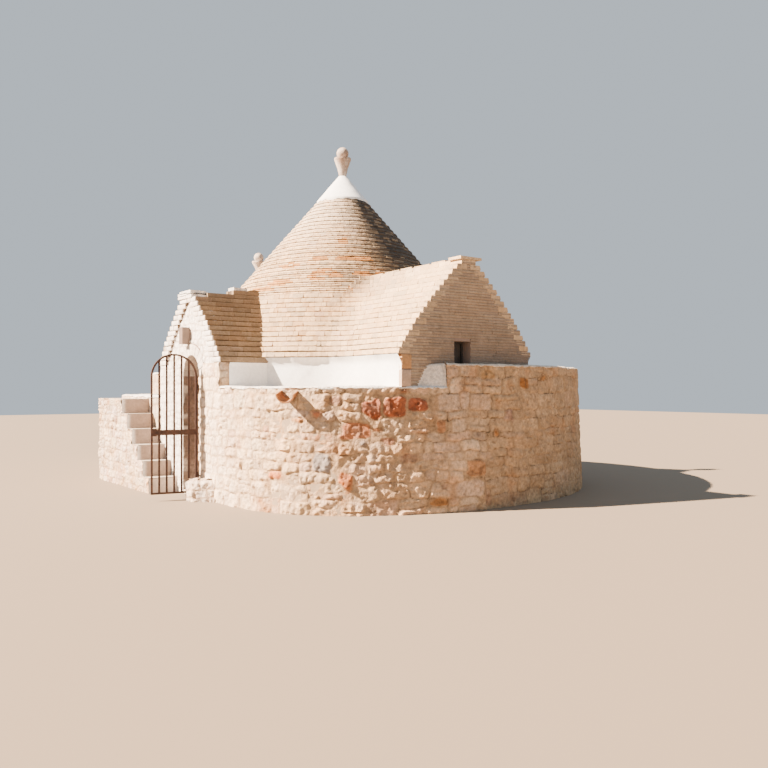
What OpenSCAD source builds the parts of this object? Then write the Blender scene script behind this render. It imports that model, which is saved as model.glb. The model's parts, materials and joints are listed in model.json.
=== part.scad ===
// Trullo house: a round dry stone room under a corbelled cone of thin slabs,
// an entrance wing and a side wing with steep gabled roofs that run into the
// cone, a smaller cone behind, a thick ring of masonry round the rooms, an
// outside stair and an iron gate that stands open.
// Millimetres. Origin: on the ground, on the main cone's axis.
// +X points to the side wing's gable, the entrance faces -Y, +Z is up.

/* [Main room and cone] */
// Radius of the round room inside
room_r = 1950; // [1600:10:2100]
// Thickness of the wall from the room to the face of the white drum
drum_wall = 730; // [600:10:800]
// How far the cone's eave stands out beyond the drum
eave_out = 60; // [40:5:100]
// Height of the eave above the ground
eave_z = 1985; // [1900:5:2100]
// Height of one course of roof slabs
course_h = 74.5; // [70:0.5:80]
// Number of courses in the main cone
cone_courses = 37; // [33:1:38]
// Radius of the topmost slab course
cone_top_r = 420; // [380:10:500]

/* [Mortar tip and pinnacle] */
// Radius of the mortar tip where it sits on the slabs
tip_r = 400; // [300:10:410]
// Height of the mortar tip
tip_h = 440; // [380:10:500]
// Radius of the neck between tip and cup
neck_r = 60; // [45:5:70]
// Radius of the cup at its rim
cup_r = 142; // [120:2:160]
// Height of the cup
cup_h = 310; // [250:10:340]
// Radius of the stone ball
ball_r = 103; // [90:1:110]

/* [Ring wall] */
// Distance from the drum's face to the ring wall's foot
ledge_w = 1340; // [1250:10:1400]
// How far the ring wall leans in from ground to top
ring_batter = 70; // [40:5:90]
// Ledge height at the front
ledge_low = 1575; // [1500:5:1600]
// Ledge height at the sides and back
ledge_high = 1865; // [1800:5:1880]
// How far the facade stands out beyond the cone's eave
facade_out = 175; // [150:5:220]
// Angle by which the right part of the facade falls back
facade_skew = 6; // [2:0.5:8]
// Radius of the bend between the facade and the ring wall
bend_r = 1900; // [1500:10:2200]

/* [Entrance wing] */
// Offset of the entrance wing's centre line to the right of the axis
wing_x = 390; // [330:10:450]
// Half width of the entrance roof at its eave
wing_half = 1185; // [1120:5:1250]
// Outward bulge of the entrance roof's slopes
wing_bulge = 340; // [200:10:400]
// Number of courses in the entrance roof
wing_courses = 15; // [13:1:15]
// Width of the band of slab ends along the verge
verge_w = 230; // [180:10:260]
// Width of the doorway
door_w = 620; // [600:10:680]
// Offset of the doorway's centre to the right of the axis
door_x = 500; // [480:5:520]
// Height at which the doorway's arch springs
door_spring = 1735; // [1650:5:1760]
// Depth of the arch stones
arch_ring = 160; // [130:10:200]

/* [Side wing] */
// How far the side gable's face stands out beyond the cone's eave
gable_out = 960; // [900:10:1000]
// Offset of the side wing's centre line behind the axis
side_y = -390; // [-420:10:-340]
// Half width of the side roof at its eave
side_half = 1145; // [1100:5:1180]
// Outward bulge of the side roof's slopes
side_bulge = 317; // [200:10:380]
// Number of courses in the side roof
side_courses = 17; // [15:1:17]
// Thickness of the side gable wall
gable_t = 350; // [280:10:400]
// Half width of the alcove in the side wing
alcove_half = 620; // [540:10:660]
// Height at which the alcove's vault springs
alcove_spring = 1750; // [1650:10:1780]
// Width of the small window
window_w = 280; // [240:10:320]
// Height of the small window
window_h = 300; // [260:10:340]
// Distance of the small window's centre from the wing's centre line
window_off = 107; // [90:1:120]
// How far the small window's frame lies behind the gable's face
window_recess = 150; // [120:10:180]

/* [Second cone] */
// How far the second cone's axis lies beyond the first cone's eave
second_out = 1385; // [1350:5:1450]
// Bearing of the second cone's axis, counted from +X
second_a = 173.7; // [172:0.1:175]
// Radius of the second room inside
second_room_r = 1000; // [900:10:1050]
// Outer radius of the masonry round the second room
second_wall_r = 2200; // [2100:10:2250]
// Radius of the second cone at its eave
second_eave_r = 1500; // [1450:10:1560]
// Number of courses in the second cone
second_courses = 24; // [22:1:25]
// Radius of the second cone's topmost course
second_top_r = 235; // [210:5:260]
// Height of the second cone's mortar tip
second_tip_h = 312; // [260:10:340]
// Height of the second pinnacle's cup
second_cup_h = 210; // [180:10:240]
// Width of the passage between the rooms
link_w = 700; // [640:10:760]
// Height at which that passage's arch springs
link_spring = 1500; // [1400:10:1550]

/* [Drain spout] */
// Outer radius of the half round spout
spout_r = 115; // [100:5:125]
// Wall thickness of the spout
spout_wall = 16; // [12:1:20]
// Length of the spout
spout_len = 480; // [420:10:520]
// How far the spout's inner end lies behind the wall's face
spout_in = 290; // [250:10:320]
// Bearing of the spout, counted from +X
spout_a = -42; // [-46:1:-38]
// How far the spout slopes down towards its mouth
spout_tilt = 10; // [6:1:14]

/* [Stair] */
// Number of rises up to the landing
rises = 6; // [5:1:7]
// Depth of one tread
tread_d = 250; // [230:5:280]
// Height of the landing
landing_z = 1390; // [1340:5:1420]
// Width of the stair
stair_w = 435; // [380:5:480]
// Where the lowest riser stands, along X
stair_x = -50; // [-80:5:-40]
// Length of the landing
landing_len = 1250; // [1100:10:1300]
// Thickness of the tread slabs
tread_t = 60; // [50:5:80]
// Height of the terrace wall left of the entrance
terrace_z = 1440; // [1400:5:1500]

/* [Gate] */
// Width of the gate leaf from hinge axis to free edge
leaf_w = 660; // [640:5:680]
// Height of the gate leaf
leaf_h = 1950; // [1900:5:1980]
// Height of the leaf's foot above the ground
leaf_z = 90; // [80:5:110]
// Side of the square frame bars
bar_s = 20; // [16:1:24]
// Diameter of the inner bars
rod_d = 14; // [12:1:16]
// Number of inner bars
rods = 5; // [4:1:6]
// Height of the flat middle rail
rail_h = 76; // [60:2:90]
// Height of the middle rail's centre above the ground
rail_z = 945; // [900:5:1000]
// Diameter of the hinge pins
pin_d = 12; // [10:1:14]
// Running gap all round a hinge pin
pin_gap = 0.4; // [0.3:0.05:0.6]
// How far the gate stands open
open_angle = 82; // [70:1:84]

/* [Hidden] */
$fn = 360;
floor_t = 60;
drum_r = room_r + drum_wall;
cone_eave_r = drum_r + eave_out;
ring_r = drum_r + ledge_w;
facade_y = cone_eave_r + facade_out;
gable_x = cone_eave_r + gable_out;
second_d = cone_eave_r + second_out;
second_x = second_d * cos(second_a);
second_y = second_d * sin(second_a);
// How far walls stand back under the roofs' eaves
step_in = 60;
second_step_in = 60;
// Bedding gap between the second room's masonry and what it meets
seat = 0.3;
// A length beyond the whole house, for cuts
big = 20000;
// The wall stands a little further in at the sides and back
back_in = 60;
ring_top_r = ring_r - ring_batter;
back_ring_r = ring_r - back_in;
back_ring_top_r = ring_top_r - back_in;

// Heights of the course joints, the same for every roof
function course_z(k) = eave_z + k * course_h;

// Radius of course k of the main cone and of the second cone
function cone_r(k) = cone_eave_r + (cone_top_r - cone_eave_r) * k / (cone_courses - 1);
function second_r(k) =
  second_eave_r + (second_top_r - second_eave_r) * k / (second_courses - 1);

// Half width of course k of a roof with n courses
ridge_half = 70;
function slope_half(k, n, half, bulge) =
  let (u = (k + 0.5) / n) half * (1 - u) + bulge * u * (1 - u) + ridge_half * u;
function wing_w(k) = slope_half(k, wing_courses, wing_half, wing_bulge);
function side_w(k) = slope_half(k, side_courses, side_half, side_bulge);

// The entrance roof starts one course lower than the cone
wing_k0 = -1;
wing_wall_half = wing_half - step_in;
side_wall_half = side_half - step_in;
wing_left = wing_x - wing_wall_half;
wing_right = wing_x + wing_wall_half;
door_left = door_x - door_w / 2;
door_right = door_x + door_w / 2;
cone_top_z = course_z(cone_courses);
second_top_z = course_z(second_courses);

// Angles, counted from +X, at which the ring wall and the drum are divided
entry_a = -78;
corner_a = -54;
high_a = -19;
side_a = 42;
back_a = 96;
left_a = 180;
far_left_a = 222;

// Inner dome: corbelled rings, each stepping in over the one below
dome_rings = 14;
dome_ring_h = 150;
dome_t = 260;
dome_top_r = 300;
function dome_r(k) = room_r + (dome_top_r - room_r) * k / (dome_rings - 1);
function dome_z(k) = eave_z + k * dome_ring_h;

// Radius of the second room's masonry where it runs up to the main room
between_out = 300;
between_r = second_wall_r + between_out;
// How far cuts through the entrance run beyond the facade
cut_over = 500;

// Stepped outline of a stack of n rings, from the axis outwards
function stack_points(n, radius, height) =
  [for (k = [0:n - 1]) each [[radius[k], height[k]], [radius[k], height[k + 1]]]];

// A wedge of the plan between two angles, less than 170 degrees apart
module wedge(a0, a1, z0, z1) {
  mid = (a0 + a1) / 2;
  reach = big / cos((a1 - a0) / 2);
  translate([0, 0, z0])
    linear_extrude(z1 - z0)
      polygon([
        [0, 0], [big * cos(a0), big * sin(a0)],
        [reach * cos(mid), reach * sin(mid)], [big * cos(a1), big * sin(a1)]
      ]);
}

// A tube standing at height z0 with a battered outer face
module tube(r_in, r_foot, r_top, z0, z1) {
  difference() {
    translate([0, 0, z0]) cylinder(h = z1 - z0, r1 = r_foot, r2 = r_top);
    translate([0, 0, z0 - 1]) cylinder(h = z1 - z0 + 2, r = r_in);
  }
}

// The round head of the passage behind the doorway
module door_head() {
  translate([door_x, 0, door_spring])
    rotate([90, 0, 0]) cylinder(h = facade_y + cut_over, r = door_w / 2);
}

// The upper half of a wider cylinder, which the arch stones fill
module arch_space() {
  r = door_w / 2 + arch_ring;
  intersection() {
    translate([door_x, 0, door_spring])
      rotate([90, 0, 0]) cylinder(h = facade_y + cut_over, r = r);
    translate([door_x - big, -big, door_spring]) cube(2 * big);
  }
}

// The clear space of the alcove in the side wing
module alcove_space() {
  back_x = gable_x - gable_t;
  translate([0, side_y - alcove_half, floor_t])
    cube([back_x, 2 * alcove_half, alcove_spring - floor_t]);
  translate([0, side_y, alcove_spring]) rotate([0, 90, 0]) cylinder(h = back_x, r = alcove_half);
}

// The clear space of the passage between the two rooms
module link_space() {
  rotate([0, 0, second_a]) {
    translate([0, -link_w / 2, floor_t]) cube([second_d, link_w, link_spring - floor_t]);
    translate([0, 0, link_spring]) rotate([0, 90, 0]) cylinder(h = second_d, r = link_w / 2);
  }
}

// Centre of the bend, a hair off the tangent circle so that its edges cross
bend_over = [3, 6];
bend_start = [
  wing_right - sin(facade_skew) * (bend_r - bend_over[0]),
  -facade_y + cos(facade_skew) * (bend_r - bend_over[0])
];
bend_along = bend_start * [cos(facade_skew), sin(facade_skew)];
bend_d = ring_r - bend_r + bend_over[1];
bend_u = sqrt(bend_along * bend_along - bend_start * bend_start + bend_d * bend_d) - bend_along;
bend_c = bend_start + bend_u * [cos(facade_skew), sin(facade_skew)];
bend_a = atan2(bend_c.y, bend_c.x);

// Everything in front of the facade, with the right part falling back and
// bending round into the ring wall
module before_facade() {
  translate([-big, -facade_y - big, -1]) cube([big + wing_right, big, big]);
  translate([wing_right, -facade_y, -1])
    rotate([0, 0, facade_skew]) translate([-big, -big, 0]) cube([2 * big, big, big]);
  translate([bend_c.x, bend_c.y, 0])
    difference() {
      wedge(facade_skew - 90, bend_a, -1, big);
      translate([0, 0, -2]) cylinder(h = big + 3, r = bend_r);
    }
}

// The block of plan that the entrance wing takes from the ring wall
module wing_block() {
  translate([wing_left, -big, -1]) cube([2 * wing_wall_half, big, course_z(wing_k0) + 1]);
}

// The plan that the second room's masonry takes: a disc, and a wider quarter
// that runs up to the main room
module second_block() {
  top = ledge_high + seat;
  translate([second_x, second_y, -1]) {
    cylinder(h = top + 1, r = second_wall_r + seat);
    rotate([0, 0, second_a])
      intersection() {
        cylinder(h = top + 1, r = between_r + seat);
        wedge(135, 225, -1, top + 2);
      }
  }
}

module floor() {
  color("tan") {
    cylinder(h = floor_t, r = room_r);
    translate([second_x, second_y, 0]) cylinder(h = floor_t, r = second_room_r);
    translate([door_left, -facade_y, 0]) cube([door_w, facade_y, floor_t]);
    translate([0, side_y - alcove_half, 0]) cube([gable_x - gable_t, 2 * alcove_half, floor_t]);
    rotate([0, 0, second_a]) translate([0, -link_w / 2, 0]) cube([second_d, link_w, floor_t]);
  }
}

// A part of the ring wall between two angles, up to a ledge
module ring_part(a0, a1, r_foot, r_top, ledge) {
  difference() {
    intersection() {
      tube(room_r, r_foot, r_top, 0, ledge);
      wedge(a0, a1, 0, ledge);
    }
    before_facade();
    wing_block();
    second_block();
    translate([0, side_y - alcove_half, -1])
      cube([gable_x - gable_t, 2 * alcove_half, alcove_spring + 1]);
    alcove_space();
  }
}

module front_wall_right() {
  color("wheat") ring_part(entry_a, corner_a, ring_r, ring_top_r, ledge_low);
}

module front_wall_curved() {
  color("wheat")
    difference() {
      ring_part(corner_a, high_a, ring_r, ring_top_r, ledge_low);
      spout_bed();
    }
}

// The high wall ends at the side gable with a plastered face that leans back
high_end_in = 221;
high_end = [gable_x, side_y - side_wall_half + high_end_in];
high_end_a = 67;
high_end_lean = 25;

module side_ring_wall() {
  color("wheat")
    difference() {
      ring_part(high_a, side_a, back_ring_r, back_ring_top_r, ledge_high);
      translate([high_end.x, high_end.y, ledge_low])
        rotate([0, 0, high_end_a])
          rotate([-high_end_lean, 0, 0]) translate([-big, -big, 0]) cube([2 * big, big, big]);
      translate([gable_x - gable_t, side_y - side_wall_half, ledge_low])
        cube([gable_t, 2 * side_wall_half, big]);
      translate([0, side_y - side_wall_half, ledge_low])
        cube([gable_x - gable_t, side_wall_half, big]);
    }
}

module back_wall_right() {
  color("wheat") ring_part(side_a, back_a, back_ring_r, back_ring_top_r, ledge_high);
}

module back_wall_left() {
  color("wheat") ring_part(back_a, left_a, back_ring_r, back_ring_top_r, ledge_high);
}

module front_wall_far_left() {
  color("wheat") ring_part(left_a, far_left_a, ring_r, ring_top_r, terrace_z);
}

module terrace_wall() {
  color("wheat") ring_part(far_left_a, 360 + entry_a, ring_r, ring_top_r, terrace_z);
}

// A quarter of the masonry round the second room
module second_part(a0, a1, r_out = second_wall_r) {
  color("wheat")
    difference() {
      translate([second_x, second_y, 0])
        rotate([0, 0, second_a])
          intersection() {
            tube(second_room_r, r_out, r_out, 0, ledge_high);
            wedge(a0, a1, 0, ledge_high);
          }
      translate([0, 0, -1]) cylinder(h = big, r = room_r);
      rotate([0, 0, second_a])
        translate([0, -link_w / 2, -1]) cube([second_d, link_w, link_spring + 1]);
      link_space();
    }
}

module second_wall_end() { second_part(-45, 45); }
module second_wall_back() { second_part(-135, -45); }
module second_wall_front() { second_part(45, 135); }
module second_wall_inner() { second_part(135, 225, between_r); }

// A part of the white drum between two angles
module drum_part(a0, a1, z0) {
  color("white")
    difference() {
      intersection() {
        tube(room_r, drum_r, drum_r, z0, eave_z);
        wedge(a0, a1, z0, eave_z);
      }
      wing_block();
      arch_space();
      alcove_space();
      link_space();
      second_block();
    }
}

module drum_front_right() { drum_part(entry_a, high_a, ledge_low); }
module drum_back_right() { drum_part(high_a, 90, ledge_high); }
module drum_back_left() { drum_part(90, left_a, ledge_high); }
module drum_front_left() { drum_part(left_a, 360 + entry_a, terrace_z); }

module second_drum() {
  second_drum_r = second_eave_r - second_step_in;
  color("white")
    difference() {
      translate([second_x, second_y, 0])
        tube(second_room_r, second_drum_r, second_drum_r, ledge_high + seat, eave_z);
      translate([0, 0, -1]) cylinder(h = big, r = drum_r + seat);
    }
}

module cone_roof() {
  outer = stack_points(
    cone_courses, [for (k = [0:cone_courses - 1]) cone_r(k)],
    [for (k = [0:cone_courses]) course_z(k)]);
  inner = stack_points(
    dome_rings, [for (k = [0:dome_rings - 1]) dome_r(k) + dome_t],
    [for (k = [0:dome_rings]) dome_z(k)]);
  color("wheat")
    difference() {
      rotate_extrude()
        polygon(concat(
          outer, [[0, cone_top_z], [0, dome_z(dome_rings)]],
          [for (i = [len(inner) - 1:-1:0]) inner[i]]));
      arch_space();
      alcove_space();
    }
}

module inner_dome() {
  outer = stack_points(
    dome_rings, [for (k = [0:dome_rings - 1]) dome_r(k) + dome_t],
    [for (k = [0:dome_rings]) dome_z(k)]);
  inner = stack_points(
    dome_rings - 1, [for (k = [0:dome_rings - 2]) dome_r(k)],
    [for (k = [0:dome_rings - 1]) dome_z(k)]);
  color("tan")
    difference() {
      rotate_extrude()
        polygon(concat(
          outer, [[0, dome_z(dome_rings)], [0, dome_z(dome_rings - 1)]],
          [for (i = [len(inner) - 1:-1:0]) inner[i]]));
      arch_space();
      alcove_space();
    }
}

// Mortar tip: a dome that narrows to the neck
module tip(r_foot, height) {
  shoulder_r = r_foot * 0.43;
  shoulder_z = height * 0.65;
  rotate_extrude()
    polygon([
      [0, 0], [r_foot, 0], [r_foot * 0.86, height * 0.18], [shoulder_r, shoulder_z],
      [neck_r, height], [0, height]
    ]);
}

// Cup of the pinnacle: flares from the neck to a rim with a shallow bowl
module cup(height) {
  rim = 30;
  rotate_extrude()
    polygon([
      [0, 0], [neck_r, 0], [cup_r * 0.62, height * 0.42], [cup_r, height - rim],
      [cup_r, height], [ball_seat_r, height], [0, height]
    ]);
}

ball_seat_r = 60;
ball_lift = sqrt(ball_r * ball_r - ball_seat_r * ball_seat_r);

// Ball with a small flat where it is bedded on the cup
module ball() {
  difference() {
    translate([0, 0, ball_lift]) sphere(r = ball_r);
    translate([-ball_r, -ball_r, -2 * ball_r]) cube(2 * ball_r);
  }
}

module cone_tip() { color("white") translate([0, 0, cone_top_z]) tip(tip_r, tip_h); }
module pinnacle_cup() {
  color("gainsboro") translate([0, 0, cone_top_z + tip_h]) cup(cup_h);
}
module pinnacle_ball() {
  color("gainsboro") translate([0, 0, cone_top_z + tip_h + cup_h]) ball();
}

module second_roof() {
  // The room's hollow narrows upwards and stops below the solid top courses
  hollow = second_courses - 8;
  shell = 360;
  outer = stack_points(
    second_courses, [for (k = [0:second_courses - 1]) second_r(k)],
    [for (k = [0:second_courses]) course_z(k)]);
  color("wheat")
    difference() {
      translate([second_x, second_y, 0])
        rotate_extrude()
          polygon(concat(
            outer,
            [[0, second_top_z], [0, course_z(hollow)],
             [second_r(hollow) - shell, course_z(hollow)], [second_room_r, eave_z]]));
      for (k = [0:second_courses - 1])
        if (cone_r(k) + second_r(k) > second_d)
          translate([0, 0, course_z(k)]) cylinder(h = course_h, r = cone_r(k));
    }
}

module second_tip() {
  color("white")
    translate([second_x, second_y, second_top_z]) tip(second_top_r * 0.8, second_tip_h);
}
module second_cup() {
  color("gainsboro")
    translate([second_x, second_y, second_top_z + second_tip_h]) cup(second_cup_h);
}
module second_ball() {
  color("gainsboro")
    translate([second_x, second_y, second_top_z + second_tip_h + second_cup_h]) ball();
}

// The masonry beside the doorway, from the facade to the room
module pier(x0, x1) {
  color("wheat")
    difference() {
      translate([x0, -facade_y, 0]) cube([x1 - x0, facade_y, course_z(wing_k0)]);
      translate([0, 0, -1]) cylinder(h = big, r = room_r);
      arch_space();
    }
}

module entrance_pier_left() { pier(wing_left, door_left); }
module entrance_pier_right() { pier(door_right, wing_right); }

// Ring of arch stones over the doorway and the passage
module entrance_arch() {
  color("tan")
    difference() {
      intersection() {
        arch_space();
        translate([-big, -facade_y, 0]) cube([2 * big, facade_y, big]);
      }
      door_head();
      translate([0, 0, -1]) cylinder(h = big, r = room_r);
    }
}

// How far the infill lies behind the bands of slab ends, and clear of the cone
infill_back = 30;
infill_gap = 5;
infill_t = facade_y - infill_back - cone_eave_r - infill_gap;

// The infill between the bands of slab ends, or with proud its clear space
module gable_infill(proud = 0) {
  top_k = wing_courses - 3;
  mid_k = top_k / 2;
  translate([wing_x, -facade_y + infill_back + infill_t, 0])
    rotate([90, 0, 0])
      linear_extrude(infill_t + proud)
        polygon([
          [-wing_w(0) + verge_w, course_z(wing_k0)],
          [wing_w(0) - verge_w, course_z(wing_k0)],
          [wing_w(mid_k) - verge_w, course_z(wing_k0 + mid_k)],
          [wing_w(top_k) - verge_w, course_z(wing_k0 + top_k)],
          [-wing_w(top_k) + verge_w, course_z(wing_k0 + top_k)],
          [-wing_w(mid_k) + verge_w, course_z(wing_k0 + mid_k)]
        ]);
}

module entrance_gable() {
  color("ivory")
    difference() {
      gable_infill();
      arch_space();
    }
}

entrance_cap = [520, 260, 105];
cap_out = 45;
// The cap takes the place of the top two courses' front ends
cap_k = wing_courses - 2;
// How far behind the facade the two top courses start
ridge_in = [entrance_cap.y - cap_out, 665];

module entrance_roof() {
  color("burlywood")
    difference() {
      for (k = [0:wing_courses - 1])
        difference() {
          front_y = -facade_y + (k < cap_k ? 0 : ridge_in[k - cap_k]);
          translate([wing_x - wing_w(k), front_y, course_z(wing_k0 + k)])
            cube([2 * wing_w(k), -front_y, course_h]);
          translate([0, 0, course_z(wing_k0 + k) - 1])
            cylinder(h = course_h + 2, r = k + wing_k0 < 0 ? drum_r : cone_r(k + wing_k0));
        }
      gable_infill(infill_back + 1);
      arch_space();
    }
}

module entrance_cap_stone() {
  cap_x = wing_x - 60;
  color("ivory")
    translate([cap_x - entrance_cap.x / 2, -facade_y - cap_out, course_z(wing_k0 + cap_k)])
      cube(entrance_cap);
}

module side_wing_wall_near() {
  near_y = side_y - side_wall_half;
  color("white")
    difference() {
      translate([0, near_y, ledge_low])
        cube([gable_x - gable_t, side_wall_half, eave_z - ledge_low]);
      cylinder(h = big, r = drum_r);
      alcove_space();
    }
}

module side_wing_wall_far() {
  color("white")
    difference() {
      translate([0, side_y, ledge_high])
        cube([gable_x - gable_t, side_wall_half, eave_z - ledge_high]);
      cylinder(h = big, r = drum_r);
      alcove_space();
    }
}

window_y = side_y - window_off;
window_z = ledge_high + 5;

module side_gable() {
  color("tan")
    difference() {
      union() {
        translate([gable_x - gable_t, side_y - side_wall_half, ledge_low])
          cube([gable_t, 2 * side_wall_half, eave_z - ledge_low]);
        for (k = [0:side_courses - 1])
          translate([gable_x - gable_t, side_y - side_w(k), course_z(k)])
            cube([gable_t, 2 * side_w(k), course_h]);
      }
      translate([gable_x - gable_t - 1, window_y - window_w / 2, window_z])
        cube([gable_t + 2, window_w, window_h]);
    }
}

module side_roof() {
  color("wheat")
    difference() {
      for (k = [0:side_courses - 1])
        difference() {
          translate([0, side_y - side_w(k), course_z(k)])
            cube([gable_x - gable_t, 2 * side_w(k), course_h]);
          translate([0, 0, course_z(k) - 1]) cylinder(h = course_h + 2, r = cone_r(k));
        }
      alcove_space();
    }
}

module side_cap_stone() {
  cap = [260, 380, 30];
  cap_off = [25, 35];
  color("ivory")
    translate([gable_x - cap.x + cap_off.x, side_y - cap.y / 2 + cap_off.y, course_z(side_courses)])
      cube(cap);
}

frame_w = 30;
frame_d = 45;

module side_window_frame() {
  color("dimgray")
    translate([gable_x - window_recess - frame_d, window_y - window_w / 2, window_z])
      difference() {
        cube([frame_d, window_w, window_h]);
        translate([-1, frame_w, frame_w])
          cube([frame_d + 2, window_w - 2 * frame_w, window_h - 2 * frame_w]);
      }
}

module side_window_pane() {
  pane_t = 8;
  color("lightblue")
    translate([
      gable_x - window_recess - (frame_d + pane_t) / 2,
      window_y - window_w / 2 + frame_w, window_z + frame_w
    ])
      cube([pane_t, window_w - 2 * frame_w, window_h - 2 * frame_w]);
}

rise = landing_z / rises;

module stair_mass() {
  color("wheat")
    for (k = [1:rises]) {
      last = k == rises;
      x0 = stair_x - (k - 1) * tread_d - (last ? landing_len : tread_d);
      translate([x0, -facade_y - stair_w, 0])
        cube([last ? landing_len : tread_d, stair_w, k * rise - tread_t]);
    }
}

module stair_treads() {
  color("ivory")
    for (k = [1:rises]) {
      last = k == rises;
      x0 = stair_x - (k - 1) * tread_d - (last ? landing_len : tread_d);
      translate([x0, -facade_y - stair_w, k * rise - tread_t])
        cube([last ? landing_len : tread_d, stair_w, tread_t]);
    }
}

// The block at the jamb's foot, which stops the gate
module jamb_foot() {
  foot = [480, 255, 300];
  color("wheat") translate([hinge_x + foot_off, -facade_y - foot.y, 0]) cube(foot);
}

// How far the spout's rim lies below the ledge at its inner end
spout_drop = 6;

// Gives the spout's own place, slope and bearing
module place_spout() {
  rotate([0, 0, spout_a])
    translate([ring_top_r - spout_in, 0, ledge_low - spout_drop])
      rotate([0, spout_tilt, 0]) children();
}

// The trough cut in the ledge where the spout is bedded
module spout_bed() {
  place_spout() rotate([0, 90, 0]) cylinder(h = 2 * spout_len, r = spout_r);
}

// Terracotta spout: a half round gutter tile that slopes out through the ledge
module drain_spout() {
  color("chocolate")
    place_spout()
      difference() {
        rotate([0, 90, 0]) cylinder(h = spout_len, r = spout_r);
        translate([-1, 0, 0])
          rotate([0, 90, 0]) cylinder(h = spout_len + 2, r = spout_r - spout_wall);
        translate([-1, -spout_r - 1, 0]) cube([spout_len + 2, 2 * spout_r + 2, spout_r + 1]);
      }
}

lamp_x = 355;

module door_lamp() {
  lamp = [130, 135, 245];
  arch_top_z = door_spring + door_w / 2 + arch_ring;
  color("gray")
    translate([lamp_x - lamp.x / 2, -facade_y + infill_back - lamp.y, arch_top_z]) cube(lamp);
}

// The hinge axis stands in front of the right jamb
hinge_x = door_right + 50;
hinge_y = -facade_y - 40;
// Distance from the hinge axis to the side of the block at the jamb's foot
foot_off = 22;
hinge_low = 330;
hinge_high = 1560;
eye_r = 13;
eye_h = 50;
pin_h = 70;
arm_t = 20;
// Gap between the hinge axis and the leaf's own frame
frame_x = 18;

// Two iron arms with upright pins, built into the right jamb's face
module gate_pintles() {
  color("saddlebrown")
    for (z = [hinge_low, hinge_high]) {
      translate([hinge_x, hinge_y, z - 1]) cylinder(h = pin_h, d = pin_d);
      translate([hinge_x - arm_t / 2, hinge_y - arm_t / 2, z - 1 - arm_t])
        cube([arm_t, -facade_y - hinge_y + arm_t / 2, arm_t]);
    }
}

arch_r = (leaf_w - frame_x) / 2;
arch_z = leaf_z + leaf_h - arch_r;

// The leaf in its closed place turns to the open place about the hinge axis
module place_leaf() {
  translate([hinge_x, hinge_y, 0]) rotate([0, 0, open_angle]) children();
}

module gate_leaf() {
  rod_gap = (leaf_w - frame_x - bar_s) / (rods + 1);
  color("saddlebrown")
    place_leaf() {
      for (x = [-leaf_w, -frame_x - bar_s])
        translate([x, -bar_s / 2, leaf_z]) cube([bar_s, bar_s, arch_z - leaf_z]);
      translate([-leaf_w, -bar_s / 2, leaf_z]) cube([leaf_w - frame_x, bar_s, bar_s]);
      translate([-frame_x - arch_r, bar_s / 2, arch_z])
        rotate([90, 0, 0])
          difference() {
            cylinder(h = bar_s, r = arch_r);
            translate([0, 0, -1]) cylinder(h = bar_s + 2, r = arch_r - bar_s);
            translate([-arch_r - 1, -2 * arch_r, -1])
              cube([2 * arch_r + 2, 2 * arch_r, bar_s + 2]);
          }
      for (i = [1:rods]) {
        x = -frame_x - bar_s / 2 - i * rod_gap;
        reach = sqrt(pow(arch_r - bar_s / 2, 2) - pow(x + frame_x + arch_r, 2));
        translate([x, 0, leaf_z + bar_s / 2])
          cylinder(h = arch_z + reach - leaf_z - bar_s / 2, d = rod_d, $fn = 24);
      }
      for (z = [hinge_low, hinge_high])
        translate([0, 0, z])
          difference() {
            union() {
              cylinder(h = eye_h, r = eye_r);
              translate([-frame_x - 2, -6, 0]) cube([frame_x + 2 - pin_d / 2 - 2, 12, eye_h]);
            }
            translate([0, 0, -1]) cylinder(h = eye_h + 2, d = pin_d + 2 * pin_gap);
          }
    }
}

// Flat rail across the bars, on the side that faces out when closed
module gate_rail() {
  rail_t = 8;
  color("sienna")
    place_leaf()
      translate([-leaf_w, -bar_s / 2 - rail_t, rail_z - rail_h / 2])
        cube([leaf_w - frame_x, rail_t, rail_h]);
}

// Lock case behind the rail, against the free frame bar
module gate_lock() {
  lock = [60, 24, 100];
  color("dimgray")
    place_leaf()
      translate([-leaf_w + bar_s, -bar_s / 2, rail_z - lock.z / 2]) cube(lock);
}

floor();
front_wall_right();
front_wall_curved();
side_ring_wall();
back_wall_right();
back_wall_left();
front_wall_far_left();
terrace_wall();
second_wall_front();
second_wall_end();
second_wall_back();
second_wall_inner();
drum_front_right();
drum_back_right();
drum_back_left();
drum_front_left();
second_drum();
cone_roof();
inner_dome();
cone_tip();
pinnacle_cup();
pinnacle_ball();
entrance_pier_left();
entrance_pier_right();
entrance_arch();
entrance_gable();
entrance_roof();
entrance_cap_stone();
side_wing_wall_near();
side_wing_wall_far();
side_gable();
side_roof();
side_cap_stone();
side_window_frame();
side_window_pane();
second_roof();
second_tip();
second_cup();
second_ball();
stair_mass();
stair_treads();
jamb_foot();
drain_spout();
door_lamp();
gate_pintles();
gate_leaf();
gate_rail();
gate_lock();
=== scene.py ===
# Looks of the trullo house: every stone, slab and plaster face as geometry,
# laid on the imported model. Metres, in the model's own frame.
import json
import math
import random

import bmesh
import bpy
import numpy as np
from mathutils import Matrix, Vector, noise


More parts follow.
